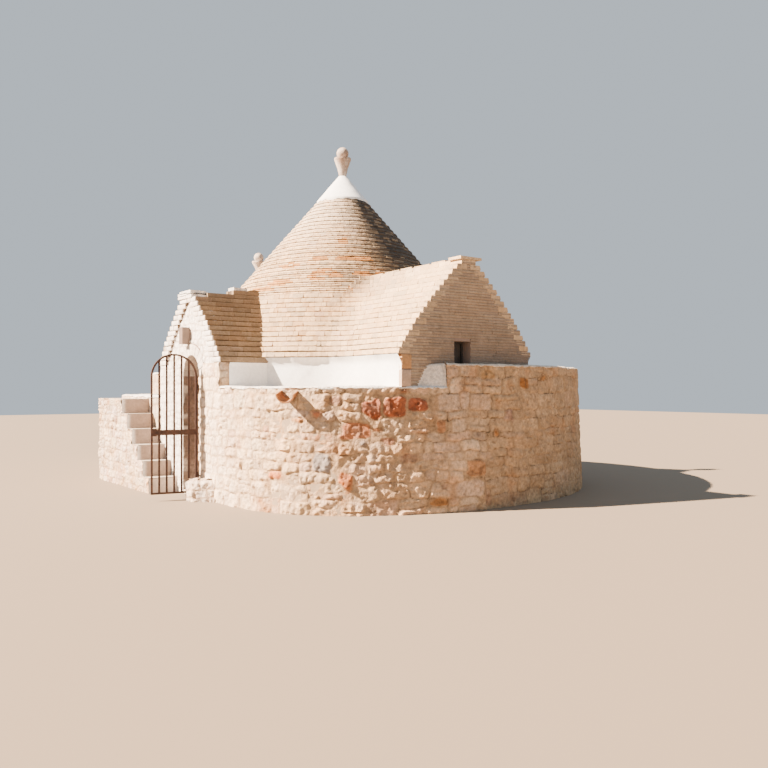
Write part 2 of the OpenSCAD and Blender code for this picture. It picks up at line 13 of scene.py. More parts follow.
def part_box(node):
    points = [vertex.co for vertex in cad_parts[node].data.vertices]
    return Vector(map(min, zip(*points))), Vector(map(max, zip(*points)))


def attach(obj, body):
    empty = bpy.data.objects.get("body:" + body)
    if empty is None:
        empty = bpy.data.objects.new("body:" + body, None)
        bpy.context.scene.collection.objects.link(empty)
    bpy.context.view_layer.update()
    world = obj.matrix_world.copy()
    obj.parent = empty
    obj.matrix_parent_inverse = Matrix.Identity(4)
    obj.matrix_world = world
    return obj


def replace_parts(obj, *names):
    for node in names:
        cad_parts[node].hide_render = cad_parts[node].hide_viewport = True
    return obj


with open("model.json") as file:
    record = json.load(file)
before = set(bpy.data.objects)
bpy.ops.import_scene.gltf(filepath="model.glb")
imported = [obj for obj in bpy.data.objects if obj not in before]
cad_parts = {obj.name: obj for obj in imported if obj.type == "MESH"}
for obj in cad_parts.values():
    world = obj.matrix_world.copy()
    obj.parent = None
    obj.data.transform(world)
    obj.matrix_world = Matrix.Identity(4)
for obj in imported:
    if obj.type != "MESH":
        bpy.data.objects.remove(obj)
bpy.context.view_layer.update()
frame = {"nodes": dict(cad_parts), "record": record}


# Sizes taken from the frame

cone_low, cone_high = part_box("cone_roof")
COURSES = 37
EAVE_Z = cone_low[2]
COURSE_H = (cone_high[2] - EAVE_Z) / COURSES
CONE_R = -cone_low[0]
CONE_TOP_R = 0.42
DRUM_R = -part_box("drum_back_left")[0][0]

second_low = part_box("second_roof")[0]
cup_low, cup_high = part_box("second_cup")
SECOND_X = (cup_low[0] + cup_high[0]) / 2
SECOND_Y = (cup_low[1] + cup_high[1]) / 2
SECOND_COURSES = 24
SECOND_R = SECOND_X - second_low[0]
SECOND_TOP_R = 0.235
SECOND_DRUM_R = SECOND_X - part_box("second_drum")[0][0]
SECOND_WALL_R = 2.2

wing_low, wing_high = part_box("entrance_roof")
WING_X = (wing_low[0] + wing_high[0]) / 2
FACADE_Y = wing_low[1]
WING_Z = wing_low[2]
WING_COURSES = 15
WING_HALF = 1.185
WING_BULGE = 0.34
VERGE_W = 0.23
TOP_SETBACKS = (0.215, 0.665)
INFILL_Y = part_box("entrance_gable")[0][1]

side_low, side_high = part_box("side_gable")
GABLE_X = side_high[0]
SIDE_Y = (side_low[1] + side_high[1]) / 2
SIDE_COURSES = 17
SIDE_HALF = 1.145
SIDE_BULGE = 0.317
CORNER_LOW_R = 0.91
CORNER_TOP_R = 0.16
DRUM_CORNER_R = 0.9
RIDGE_HALF = 0.07
RIDGE_W = 0.20
QUOIN_W = 0.15
OPEN_GAP = (0.001, 0.006)

WALL_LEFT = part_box("entrance_pier_left")[0][0]
WALL_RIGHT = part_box("entrance_pier_right")[1][0]
DOOR_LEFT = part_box("entrance_pier_left")[1][0]
DOOR_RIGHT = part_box("entrance_pier_right")[0][0]
arch_low, arch_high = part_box("entrance_arch")
DOOR_SPRING = arch_low[2]
DOOR_R = (DOOR_RIGHT - DOOR_LEFT) / 2
DOOR_X = (DOOR_LEFT + DOOR_RIGHT) / 2
ARCH_R = arch_high[2] - DOOR_SPRING
ROOM_R = 1.95
ARCH_TUCK = 0.02
STRIP_W = 0.13

LEDGE_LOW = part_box("front_wall_right")[1][2]
LEDGE_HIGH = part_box("side_ring_wall")[1][2]
TERRACE_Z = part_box("terrace_wall")[1][2]
RING_FOOT = 4.02
BATTER = 0.07
BACK_IN = 0.06
BACK_FOOT = RING_FOOT - BACK_IN
SKEW = math.radians(6)
BEND_R = 1.9
HIGH_END = (GABLE_X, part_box("side_wing_wall_near")[0][1] + 0.221)
HIGH_FACE_DEG = -13.0
STEP_DEG = -4.8
SIDE_A = math.radians(46)


def course_z(k):
    return EAVE_Z + k * COURSE_H


def cone_r(k):
    return CONE_R + (CONE_TOP_R - CONE_R) * k / (COURSES - 1)


def second_r(k):
    return SECOND_R + (SECOND_TOP_R - SECOND_R) * k / (SECOND_COURSES - 1)


def slope_half(k, n, half, bulge):
    u = (k + 0.5) / n
    return half * (1 - u) + bulge * u * (1 - u) + RIDGE_HALF * u


def wing_w(k):
    return slope_half(k, WING_COURSES, WING_HALF, WING_BULGE)


def side_w(k):
    return slope_half(k, SIDE_COURSES, SIDE_HALF, SIDE_BULGE)


def add(name, data):
    """A new object in the scene."""
    piece = bpy.data.objects.new(name, data)
    bpy.context.collection.objects.link(piece)
    return piece


# Camera: eye height, place and bearing worked out from the photograph

EYE = (11.75, -7.42, 1.55)
LOOK = math.radians(144.81)
LENS_PX = 811.0
FRAME_PX = 768.0
HORIZON_PX = 388.9


def make_camera():
    data = bpy.data.cameras.new("camera")
    data.sensor_width = 36.0
    data.lens = LENS_PX / FRAME_PX * data.sensor_width
    data.shift_y = (HORIZON_PX - FRAME_PX / 2) / FRAME_PX
    data.clip_end = 200.0
    camera = add("camera", data)
    camera.location = EYE
    camera.rotation_euler = (math.radians(90), 0, LOOK - math.radians(90))
    bpy.context.scene.camera = camera


# Shader helpers

class Paint:
    """A material, built node by node."""

    def __init__(self, name, rough=0.9, metal=0.0):
        self.material = bpy.data.materials.new(name)
        self.material.use_nodes = True
        self.tree = self.material.node_tree
        self.tree.nodes.clear()
        self.shader = self.node("BsdfPrincipled", Roughness=rough, Metallic=metal)
        self.link(self.shader.outputs[0], self.node("OutputMaterial").inputs[0])

    def node(self, kind, **values):
        node = self.tree.nodes.new("ShaderNode" + kind)
        for socket, value in values.items():
            node.inputs[socket].default_value = value
        return node

    def link(self, source, socket):
        self.tree.links.new(source, socket)

    def noise(self, scale, detail, rough, stretch=(1.0, 1.0, 1.0)):
        """Noise in the model's own metres."""
        place = self.node("VectorMath")
        place.operation = "MULTIPLY"
        place.inputs[1].default_value = stretch
        self.link(self.node("TexCoord").outputs["Object"], place.inputs[0])
        node = self.node("TexNoise", Scale=scale, Detail=detail, Roughness=rough)
        self.link(place.outputs[0], node.inputs["Vector"])
        return node.outputs["Fac"]

    def flecks(self, scale, detail, rough, low, high, **how):
        """Noise through a ramp from low to high, each a place on it and a value."""
        node = self.node("ValToRGB")
        for element, (place, value) in zip(node.color_ramp.elements, (low, high)):
            element.position = place
            element.color = (value, value, value, 1)
        self.link(self.noise(scale, detail, rough, **how), node.inputs["Fac"])
        return node.outputs["Color"]

    def mix(self, part, a, b, mode="MIX"):
        """Mixes two colours, each a socket or plain values."""
        node = self.node("Mix")
        node.data_type = "RGBA"
        node.blend_type = mode
        for i, value in ((0, part), (6, a), (7, b)):
            if isinstance(value, bpy.types.NodeSocket):
                self.link(value, node.inputs[i])
            else:
                node.inputs[i].default_value = (*value, 1) if isinstance(value, tuple) else value
        return node.outputs[2]

    def times(self, a, b):
        return self.mix(1.0, a, b, "MULTIPLY")

    def bump(self, scale, detail, rough, strength, distance, under=None):
        node = self.node("Bump", Strength=strength, Distance=distance)
        self.link(self.noise(scale, detail, rough), node.inputs["Height"])
        if under:
            self.link(under, node.inputs["Normal"])
        return node.outputs[0]

    def finish(self, colour, normal):
        self.link(colour, self.shader.inputs["Base Color"])
        self.link(normal, self.shader.inputs["Normal"])
        return self.material


# Materials

def stone_material(name, stain, stain_amount, bump=0.6, spots=0.0, speckle=0.08, deep=0.012):
    """Stone whose colour per piece is in the mesh's own tint, with stains and grain."""
    paint = Paint(name, 0.92)
    tint = paint.node("Attribute")
    tint.attribute_name = "tint"
    blotch = paint.flecks(9.0, 6.0, 0.65, (0.30, 0.55), (0.7, 0.73))
    speck = paint.flecks(27.0, 4.0, 0.6, (0.34, 1.0 - speckle), (0.66, 1.0 + speckle))
    colour = paint.times(paint.times(tint.outputs["Color"], blotch), speck)
    weather = paint.flecks(3.1, 8.0, 0.72, (0.5, 0.0), (0.74, stain_amount))
    colour = paint.mix(weather, colour, stain)
    if spots:
        pits = paint.flecks(38.0, 3.0, 0.6, (0.28, spots), (0.38, 0.0))
        colour = paint.mix(pits, colour, (0.16, 0.11, 0.07))
    colour = paint.times(colour, paint.flecks(60.0, 5.0, 0.7, (0.3, 0.86), (0.72, 1.08)))
    coarse = paint.bump(24.0, 6.0, 0.65, bump, deep)
    return paint.finish(colour, paint.bump(90.0, 4.0, 0.6, bump * 0.7, 0.003, coarse))


def plain_material(name, colour, other, scale, rough=0.9, bump=0.4, distance=0.01, metal=0.0,
                   stretch=(1.0, 1.0, 1.0)):
    """A surface that drifts between two colours, with a bump of the same scale."""
    paint = Paint(name, rough, metal)
    part = paint.flecks(scale, 8.0, 0.65, (0.38, 0.0), (0.64, 1.0), stretch=stretch)
    speckle = paint.flecks(scale * 9, 4.0, 0.7, (0.3, 0.88), (0.7, 1.05))
    coarse = paint.bump(scale * 3, 6.0, 0.6, bump, distance)
    fine = paint.bump(scale * 14, 3.0, 0.6, bump * 0.6, distance / 4, coarse)
    return paint.finish(paint.times(paint.mix(part, colour, other), speckle), fine)


# Plain materials by slot: two colours, scale, roughness, bump, its depth, metal, stretch
PLAIN = {
    "roof_slabs": ("slab_bed", (0.10, 0.065, 0.04), (0.06, 0.04, 0.025), 4.0),
    "rubble": ("lime_mortar", (0.38, 0.29, 0.20), (0.30, 0.22, 0.15), 5.0),
    "dressed_stone": ("dressed_limestone", (0.46, 0.41, 0.35), (0.34, 0.29, 0.24), 6.0),
    "stone_floor": ("stone_paving", (0.50, 0.44, 0.37), (0.38, 0.33, 0.28), 4.0),
    "limewash": ("limewash_plaster", (0.88, 0.92, 0.96), (0.83, 0.86, 0.89), 3.0, 0.88, 0.2, 0.008),
    "terracotta": ("terracotta_clay", (0.36, 0.15, 0.04), (0.20, 0.09, 0.045), 9.0),
    "rusty_iron": ("rusted_iron", (0.075, 0.035, 0.026), (0.035, 0.020, 0.018), 22.0, 0.75, 0.5,
                   0.002, 0.2),
    "lamp_metal": ("lamp_paint", (0.20, 0.14, 0.11), (0.15, 0.11, 0.09), 12.0, 0.6, 0.2, 0.002),
    "window_frame": ("frame_paint", (0.05, 0.045, 0.04), (0.035, 0.03, 0.028), 12.0, 0.6, 0.2, 0.002),
    # The glass is painted dark for the unlit room behind it: painted shade.
    "glass": ("glass_painted_room_shade", (0.08, 0.07, 0.062), (0.05, 0.044, 0.040), 9.0, 0.3, 0.1, 0.001),
    # The doorway's arch, and the side gable behind its courses: limewash in a dark tone of painted shade.
    "cheek": ("doorway_lime_painted_shade", (0.27, 0.20, 0.165), (0.23, 0.17, 0.14), 5.0),
    "pinnacle": ("weathered_limestone", (0.62, 0.56, 0.50), (0.26, 0.17, 0.12), 7.0, 0.9, 0.5, 0.01,
                 0.0, (1.0, 1.0, 0.45)),
}

# Nodes whose look differs from that of their slot
OWN_LOOK = {
    "entrance_arch": "cheek", "side_gable": "cheek", "pinnacle_cup": "pinnacle",
    "pinnacle_ball": "pinnacle", "second_cup": "pinnacle", "second_ball": "pinnacle",
}


def dress_nodes(materials):
    """Gives every CAD node that still shows its material."""
    for part in frame["record"]["subparts"]:
        node = frame["nodes"][part["node"]]
        material = materials[OWN_LOOK.get(part["node"], part["material_slot"])]
        if not node.material_slots:
            node.data.materials.append(material)
        for place in node.material_slots:
            place.material = material


# Limestone, lime and lichen colours, as linear values

CREAM = (0.81, 0.54, 0.30)
PALE = (0.90, 0.67, 0.42)
TAN = (0.60, 0.36, 0.19)
RUST = (0.46, 0.12, 0.04)
OCHRE = (0.66, 0.38, 0.17)
GREY = (0.42, 0.34, 0.26)
ROSE = (0.70, 0.50, 0.42)
BLUSH = (0.68, 0.47, 0.38)
BURNT = (0.72, 0.33, 0.09)
LICHEN = (0.11, 0.09, 0.06)
OLIVE = (0.36, 0.25, 0.13)
WHITE = (1.25, 1.22, 1.18)
MORTAR = (0.50, 0.32, 0.19)

# Colours that the stones of one place tend to, in sun or in shade
CONE_SHADOW = (0.050, 0.058, 0.066)
CONE_SUN = (1.04, 0.88, 0.70)
VALLEY_SHADE = (0.52, 0.36, 0.21)
WING_SHADE = (0.27, 0.190, 0.115)
GABLE_SHADE = (0.45, 0.35, 0.27)
GABLE_LOW_TONE = (0.20, 0.165, 0.145)
WALL_SHADE_NEAR = (0.62, 0.33, 0.16)
WALL_SHADE_FAR = (1.02, 0.68, 0.42)
WALL_SUN = (1.25, 0.86, 0.58)
WALL_DULL = (0.55, 0.34, 0.17)
LEFT_CHEEK_SHADE = (0.40, 0.30, 0.255)
RIGHT_CHEEK_SHADE = (0.34, 0.28, 0.25)


def blend(a, b, part):
    return tuple(x + (y - x) * part for x, y in zip(a, b))


def unit(value):
    """A value held between 0 and 1."""
    return max(0.0, min(1.0, value))


def shade(colour, rng, spread=0.10):
    light = 1 + rng.uniform(-spread, spread)
    warm = rng.uniform(-0.03, 0.03)
    return (colour[0] * (light + warm), colour[1] * light, colour[2] * (light - warm))


def patch(point, scale, seed):
    """Smooth noise from 0 to 1 at a point."""
    x, y, z = point
    return 0.5 + 0.5 * noise.noise(Vector((x * scale + seed, y * scale, z * scale - seed)))


# Orange slabs of the cone: bearing in degrees, height, reach along and up
CONE_ACCENTS = (
    (-64.9, 3.46, 0.16, 0.05), (-25.6, 3.55, 0.34, 0.05), (-41.6, 3.26, 0.26, 0.09),
    (-65.6, 3.17, 0.26, 0.06), (-75.0, 3.06, 0.24, 0.05), (-17.4, 3.28, 0.30, 0.05),
    (-21.8, 3.02, 0.28, 0.07), (-46.0, 3.56, 0.16, 0.04), (-31.2, 3.86, 0.10, 0.05),
)


def roof_tint(point, rng):
    tone = blend(CREAM, PALE, min(1.0, patch(point, 1.3, 3.0) * 1.3))
    pick = rng.random()
    if pick < 0.12:
        tone = blend(tone, OCHRE, 0.50)
    elif pick < 0.26:
        tone = blend(tone, GREY, 0.42)
    elif pick < 0.40:
        tone = blend(tone, TAN, 0.45)
    elif pick < 0.48:
        tone = blend(tone, ROSE, 0.4)
    grey = patch(point, 1.1, 23.0)
    if grey > 0.58:
        tone = blend(tone, GREY, min(0.45, (grey - 0.58) * 3))
    return shade(tone, rng)


def cone_tint(point, rng):
    x, y, z = point
    radius = math.hypot(x, y)
    bearing = math.atan2(y, x)
    for degrees, height, along, up in CONE_ACCENTS:
        off = (bearing - math.radians(degrees)) * radius
        if (off / along) ** 2 + ((z - height) / up) ** 2 < 1 and rng.random() < 0.85:
            return shade(blend(BURNT, OCHRE, rng.random() * 0.6), rng, 0.12)
    tone = roof_tint(point, rng)
    # Painted shade: slabs on the side turned from the sun darken towards CONE_SHADOW, more so higher up;
    # higher on the sunlit side they pale towards CONE_SUN.
    shadow = unit((bearing + 0.66) / 0.70) if bearing < 2.4 else 0.0
    dark = blend(tone, CONE_SHADOW, 0.92 * shadow * min(1.0, 0.35 + max(0.0, z - 2.6) * 0.6))
    dark = blend(dark, CONE_SUN, 0.6 * unit((z - 3.6) / 0.7) * (1 - shadow))
    # About a fifth of the slabs turn paler: partly paler stones, partly painted highlights where edges
    # catch the sun, fainter where the painted shade lies.
    if rng.random() < 0.22:
        return blend(dark, PALE, 0.55 * (1 - 0.5 * shadow))
    return shade(dark, rng, 0.12) if z > 3.0 else dark


def side_tint(point, rng):
    # Painted shade: slabs near the cone, in the valley, darken towards VALLEY_SHADE; out towards the
    # gable they turn paler.
    tone = blend(roof_tint(point, rng), VALLEY_SHADE, 0.25 * unit(2.6 - point[0]))
    return blend(tone, PALE, 0.35 * unit(point[0] - 2.0))


def shaded_roof_tint(point, rng):
    return shade(blend(roof_tint(point, rng), WING_SHADE, 0.72), rng)


def rubble_tint(point, rng):
    pick = rng.random()
    if pick < 0.05:
        tone = blend(RUST, OCHRE, 0.3 + rng.random() * 0.6)
    elif pick < 0.30:
        tone = blend(TAN, CREAM, 0.3 + rng.random() * 0.5)
    elif pick < 0.38:
        tone = blend(GREY, CREAM, 0.45)
    elif pick < 0.50:
        tone = blend(BLUSH, CREAM, 0.4)
    else:
        tone = blend(CREAM, PALE, rng.random())
    return shade(tone, rng, 0.11)


def washed_tint(point, rng):
    return shade(blend(rubble_tint(point, rng), WHITE, 0.72), rng, 0.04)


# Mesh building

class Pile:
    """Many small solids, or faces, gathered into one mesh with its own tints."""

    def __init__(self):
        self.verts = []
        self.faces = []
        self.tints = []

    def loft(self, rings, tint, closed=False):
        """Joins rings of points, with a cap at each end or round to the first ring."""
        start = len(self.verts)
        count = len(rings[0])
        for ring in rings:
            self.verts.extend(ring)
            self.tints.extend([tint] * count)
        for i in range(len(rings) if closed else len(rings) - 1):
            low = start + i * count
            high = start + (i + 1) % len(rings) * count
            for j in range(count):
                k = (j + 1) % count
                self.faces.append((low + j, low + k, high + k, high + j))
        if not closed:
            self.faces.append(tuple(start + j for j in range(count))[::-1])
            self.faces.append(tuple(high + j for j in range(count)))

    def grid(self, points, tints, keep=None):
        """A face of rows by columns of points; keep tells which cells stay."""
        rows, columns = points.shape[:2]
        if keep is None:
            keep = np.ones((rows - 1, columns - 1), bool)
        corner = np.arange(rows * columns).reshape(rows, columns)
        cells = np.stack([corner[:-1, :-1], corner[:-1, 1:], corner[1:, 1:], corner[1:, :-1]], -1)
        cells = cells[keep]
        used, renamed = np.unique(cells, return_inverse=True)
        renamed = renamed.reshape(cells.shape) + len(self.verts)
        self.verts.extend(map(tuple, points.reshape(-1, 3)[used].tolist()))
        self.tints.extend(map(tuple, np.broadcast_to(tints, points.shape).reshape(-1, 3)[used].tolist()))
        self.faces.extend(map(tuple, renamed.tolist()))

    def make(self, name, material, body="root", sharp=30, solid=True):
        """One piece of the model; edges sharper than sharp degrees stay crisp."""
        mesh = bpy.data.meshes.new(name)
        mesh.from_pydata(self.verts, [], self.faces)
        layer = mesh.color_attributes.new("tint", "FLOAT_COLOR", "POINT")
        flat = np.ones((len(self.tints), 4), np.float32)
        flat[:, :3] = np.clip(np.array(self.tints), 0.0, 1.3)
        layer.data.foreach_set("color", flat.ravel())
        if solid:
            work = bmesh.new()
            work.from_mesh(mesh)
            bmesh.ops.recalc_face_normals(work, faces=work.faces)
            work.to_mesh(mesh)
            work.free()
        mesh.polygons.foreach_set("use_smooth", [True] * len(mesh.polygons))
        mesh.set_sharp_from_angle(angle=math.radians(sharp))
        mesh.materials.append(material)
        piece = add(name, mesh)
        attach(piece, body)
        return piece

    def skin(self, name, material, sharp=60):
        """An open face, whose normals stay as they are laid."""
        return self.make(name, material, sharp=sharp, solid=False)


def spread(seed):
    return np.random.default_rng(int(seed)).random((64, 64))


def drift(s, z, scale, seed):
    """Smooth noise from -1 to 1 over a face, for arrays of places."""
    table = spread(seed)
    u, v = s * scale + 7.3, z * scale + 3.1
    i, j = np.floor(u).astype(int), np.floor(v).astype(int)
    fu, fv = u - i, v - j
    fu, fv = fu * fu * (3 - 2 * fu), fv * fv * (3 - 2 * fv)
    a, b = table[i % 64, j % 64], table[(i + 1) % 64, j % 64]
    c, d = table[i % 64, (j + 1) % 64], table[(i + 1) % 64, (j + 1) % 64]
    return 2 * ((a * (1 - fu) + b * fu) * (1 - fv) + (c * (1 - fu) + d * fu) * fv) - 1


def step_up(value, low, high):
    part = np.clip((value - low) / (high - low), 0.0, 1.0)
    return part * part * (3 - 2 * part)


def stack(place, s, z, out):
    """Points of a face from arrays of places on it."""
    return np.stack(np.broadcast_arrays(*place(s, z, out)), -1)


def at(value, *place):
    """A value that is one number, or a function of the place."""
    return value(*place) if callable(value) else value


def facing_x(x, side=1):
    """Places on an upright face that looks along X, with t along Y."""
    return lambda t, z, out: (x + side * out, t, z)


def facing_y(y, side=1):
    """Places on an upright face that looks along Y, with t along X."""
    return lambda t, z, out: (t, y + side * out, z)


# Slab courses

def slab(pile, place, t0, t1, foot_at, top_at, proud, depth, rng, tint, lean=0.0, bed=(0.004, 0.013)):
    """One flat stone: a crisp front edge along t, with slightly worn ends."""
    rings = []
    for part in (0.0, 0.08, 0.5, 0.92, 1.0) if t1 - t0 > 0.13 else (0.0, 0.5, 1.0):
        t = t0 + (t1 - t0) * part
        end = 0.001 if part in (0.0, 1.0) else 0.0
        out = proud + rng.uniform(-0.003, 0.003) - end
        head = 0.003 + (out - 0.003) * (1 - lean)
        foot = at(foot_at, t) + rng.uniform(*bed)
        top = at(top_at, t) - rng.uniform(0.0, 0.003) - end * 0.4
        rings.append([
            place(t, foot, -depth),
            place(t, foot, out - 0.004),
            place(t, foot + 0.007, out),
            place(t, top - 0.010, head),
            place(t, top, head - 0.004),
            place(t, top + 0.003, -depth),
        ])
    pile.loft(rings, tint)


def course(pile, place, t0, t1, z, height, rng, tint_of, lengths, proud, depth=0.08, skip=None,
           wave=0.004, gap=(0.0, 0.002), lift=0.005, lean=0.0, bed=(0.004, 0.013)):
    """A row of slabs from t0 to t1, with thin joints and a slight wave."""
    def bed_line(base):
        return lambda t: base + lift + wave * noise.noise(Vector((t * 1.7, base * 9.0, 0.5)))

    t = t0
    while t < t1 - 0.03:
        length = rng.uniform(*lengths)
        if t1 - (t + length) < lengths[0] * 0.6:
            length = t1 - t
        middle = place(t + length / 2, z + height / 2, 0.0)
        jut = rng.uniform(*proud)
        tint = tint_of(middle, rng)
        joint = rng.uniform(*gap)
        if not (skip and skip(middle)):
            slab(pile, place, t + joint / 2, t + length - joint / 2, bed_line(z), bed_line(z + height),
                 jut, depth, rng, tint, lean, bed)
        t += length


# Rubble faces

JOINT_W = 0.006
ACCENT_ROOM = 1.15

def stone_sites(s0, s1, z0, z1, rng, rows, widths, scale):
    """Centres and half sizes of stones in loose rows."""
    sites = []
    z = z0
    while z < z1:
        tall = rng.uniform(*rows)
        s = s0 - rng.uniform(0.0, widths[0])
        while s < s1:
            wide = rng.uniform(*widths) * at(scale, s)
            sink = rng.uniform(-0.12, 0.12) * tall
            if tall > 0.16 and rng.random() < 0.35:
                cut = rng.uniform(0.35, 0.65)
                sites.append((s + wide / 2, z + tall * cut / 2, wide / 2, tall * cut / 2))
                sites.append((s + wide / 2, z + tall * (1 + cut) / 2, wide / 2, tall * (1 - cut) / 2))
            else:
                sites.append((s + wide / 2, z + sink + tall / 2, wide / 2, tall / 2))
            s += wide
        z += tall
    return sites


def nearest_sites(s, z, ws, wz, sites):
    """How far each point is from its nearest stone and the next one, and which is nearest."""
    nearest = np.full(ws.shape, 9.0)
    second = nearest.copy()
    owner = np.zeros(ws.shape, int)
    for i, (cs, cz, half_s, half_z) in enumerate(sites):
        js = np.flatnonzero(np.abs(s - cs) < 2.4 * half_s + 0.06)
        iz = np.flatnonzero(np.abs(z - cz) < 2.4 * half_z + 0.06)
        if not len(js) or not len(iz):
            continue
        box = (slice(iz[0], iz[-1] + 1), slice(js[0], js[-1] + 1))
        away = ((np.abs(ws[box] - cs) / half_s) ** 4 + (np.abs(wz[box] - cz) / half_z) ** 4) ** 0.25
        closer = away < nearest[box]
        second[box] = np.where(closer, nearest[box], np.minimum(second[box], away))
        owner[box] = np.where(closer, i, owner[box])
        nearest[box] = np.where(closer, away, nearest[box])
    return nearest, second, owner


def rubble(pile, place, s0, s1, z0, z1, seed, tint_of, wash=None, *, step, rows=(0.11, 0.22),
           widths=(0.12, 0.36), jut=(0.004, 0.022), rough=1.0, keep_of=None, accents=(), marks=(),
           levels=None, mortar=MORTAR, most=0.06, scale=1.0, crack=0.5, lime_tone=WHITE):
    """A face of rough stones in mortar: one fine grid raised stone by stone.

    rows, widths and jut are ranges of the stones' sizes, wash is how much lime lies
    on them, most is how far they may stand out, crack is how dark the joints and pits
    are, with the painted shadow under each stone, and marks and levels are lines
    that the grid has to follow.
    """
    rng = random.Random(seed)
    columns = max(2, round(abs(s1 - s0) / step))
    s = np.linspace(s0, s1, columns + 1)
    if len(marks):
        s = np.union1d(s, [m for m in marks if min(s0, s1) < m < max(s0, s1)])
    levels = sorted(levels or (z0, z1))
    z = np.unique(np.concatenate([np.linspace(a, b, max(1, round((b - a) / step)) + 1)
                                  for a, b in zip(levels, levels[1:])]))
    ss, zz = np.meshgrid(s, z)

    def waves(fine, extra):
        return drift(ss, zz, fine, seed + extra)

    # The stones, and for each point the nearest one and how far its edge is
    ws = ss + 0.028 * waves(4.5, 1) + 0.010 * waves(15.0, 2)
    wz = zz + 0.024 * waves(3.5, 3) + 0.009 * waves(14.0, 4)
    sites = stone_sites(min(s0, s1), max(s0, s1), z0 - 0.03, z1, rng, rows, widths, scale)
    sites = [site for site in sites if not any(
        abs(site[0] - a[0]) < a[2] * ACCENT_ROOM and abs(site[1] - a[1]) < a[3] * ACCENT_ROOM
        for a in accents)]
    plain = len(sites)
    sites += [accent[:4] for accent in accents]
    nearest, second, owner = nearest_sites(s, z, ws, wz, sites)
    size = np.array([min(site[2], site[3]) for site in sites])
    edge = (second - nearest) * 0.5 * size[owner]
    apart = step_up(nearest, 1.08, 1.25)
    body = step_up(edge, JOINT_W, JOINT_W + 0.011) * (1 - apart)
    tints, jutting, leans = [], [], []
    for i, (cs, cz, *_) in enumerate(sites):
        tint = tint_of([float(v) for v in place(cs, cz, 0.0)], rng)
        tints.append(tint if i < plain else shade(accents[i - plain][4], rng, 0.08))
        jutting.append(rng.uniform(*jut))
        leans.append((rng.uniform(-0.09, 0.09), rng.uniform(-0.10, 0.10)))
    tints, jutting, leans = np.array(tints), np.array(jutting), np.array(leans)

    # Relief: each stone juts and leans by its own amount, with knapped faces and pits
    centres = np.array([site[:2] for site in sites])
    lean = (leans[owner, 0] * (ss - centres[owner, 0]) + leans[owner, 1] * (zz - centres[owner, 1]))
    dome = 1 - 0.22 * np.minimum(nearest, 1.2) ** 2
    knap = -0.015 * np.abs(waves(8.0, 5)) + 0.009 * waves(19.0, 6) + 0.006 * waves(37.0, 7)
    pit = step_up(waves(27.0, 12), 0.45, 0.9) * body
    high = body * (jutting[owner] * dome + lean + rough * knap) - 0.009 * rough * pit
    high += (1 - body) * 0.003 * waves(26.0, 8)
    high = np.minimum(0.003 + np.clip(high + 0.004, 0.0, 0.05), at(most, ss, zz))

    # Colour: the stones' own, patches and rust, then lime, then the dark joints and pits, darkest under
    # each stone as painted shadow
    cover = ((0.4 + 0.6 * body) * (1 - 0.8 * apart))[..., None]
    colour = np.array(mortar) + (tints[owner] - np.array(mortar)) * cover
    mottle = np.where(owner >= plain, 0.38, 0.15)
    patches = 1 + 0.13 * waves(7.0, 13) + mottle * waves(23.0, 14)
    rusty = 0.35 * step_up(waves(5.0, 15), 0.35, 0.9)[..., None]
    colour = (colour + (colour * np.array((1.0, 0.68, 0.45)) - colour) * rusty) * patches[..., None]
    # Painted shadow: joints darken most on the lower side of each stone.
    under = np.clip((centres[owner, 1] - wz) / np.array(sites)[owner, 3], 0.0, 1.0)
    broken = np.clip(0.55 + 0.9 * waves(3.3, 11), 0.0, 1.0)
    joints_and_shade = (1 - step_up(edge, 0.0, JOINT_W * 1.3)) * broken * (0.35 + 0.65 * under) + 0.35 * pit
    if wash is not None:
        wash = np.clip(at(wash, ss, zz) + 0.20 * waves(6.0, 9) + 0.14 * waves(17.0, 10), 0.0, 1.0)
        wash = np.where(owner >= plain, wash * 0.35, wash)[..., None]
        colour = colour + (np.array(lime_tone) - colour) * wash * (0.35 + 0.65 * body)[..., None]
        joints_and_shade = joints_and_shade * (1 - 0.45 * wash[..., 0])
    colour = colour * (1 - crack * joints_and_shade)[..., None]

    keep = None
    if keep_of:
        keep = keep_of((ss[:-1, :-1] + ss[1:, 1:]) / 2, (zz[:-1, :-1] + zz[1:, 1:]) / 2)
    pile.grid(stack(place, ss, zz, high), colour, keep)


class Outline:
    """A wall's footprint as a chain of points; places things along it."""

    def __init__(self, points, foot=None, batter=0.0, height=1.0):
        fine = [Vector(points[0])]
        for a, b in zip(points, points[1:]):
            a, b = Vector(a), Vector(b)
            parts = max(1, math.ceil((b - a).length / 0.04))
            fine.extend(a.lerp(b, (i + 1) / parts) for i in range(parts))
        chain = np.array([tuple(p) for p in fine])
        runs = np.diff(chain, axis=0)
        lengths = np.hypot(runs[:, 0], runs[:, 1])
        runs /= lengths[:, None]
        sides = np.stack([runs[:, 1], -runs[:, 0]], -1)
        normals = np.vstack([sides[:1], sides[:-1] + sides[1:], sides[-1:]])
        self.normals = normals / np.hypot(normals[:, 0], normals[:, 1])[:, None]
        self.chain = chain
        self.marks = np.concatenate([[0.0], np.cumsum(lengths)])
        self.length = float(self.marks[-1])
        self.foot, self.batter, self.height = foot, batter, height

    def place(self, s, z, out):
        x, y, nx, ny = (np.interp(s, self.marks, column) for column in (*self.chain.T, *self.normals.T))
        if self.foot:
            limit = self.foot - self.batter * z / self.height
            pull = np.minimum(1.0, limit / np.hypot(x, y))
            x, y = x * pull, y * pull
        long = np.hypot(nx, ny)
        return x + nx / long * out, y + ny / long * out, z

    def near(self, x, y):
        """The mark nearest to a point of the plan."""
        i = int(np.argmin(np.hypot(self.chain[:, 0] - x, self.chain[:, 1] - y)))
        return float(self.marks[i])


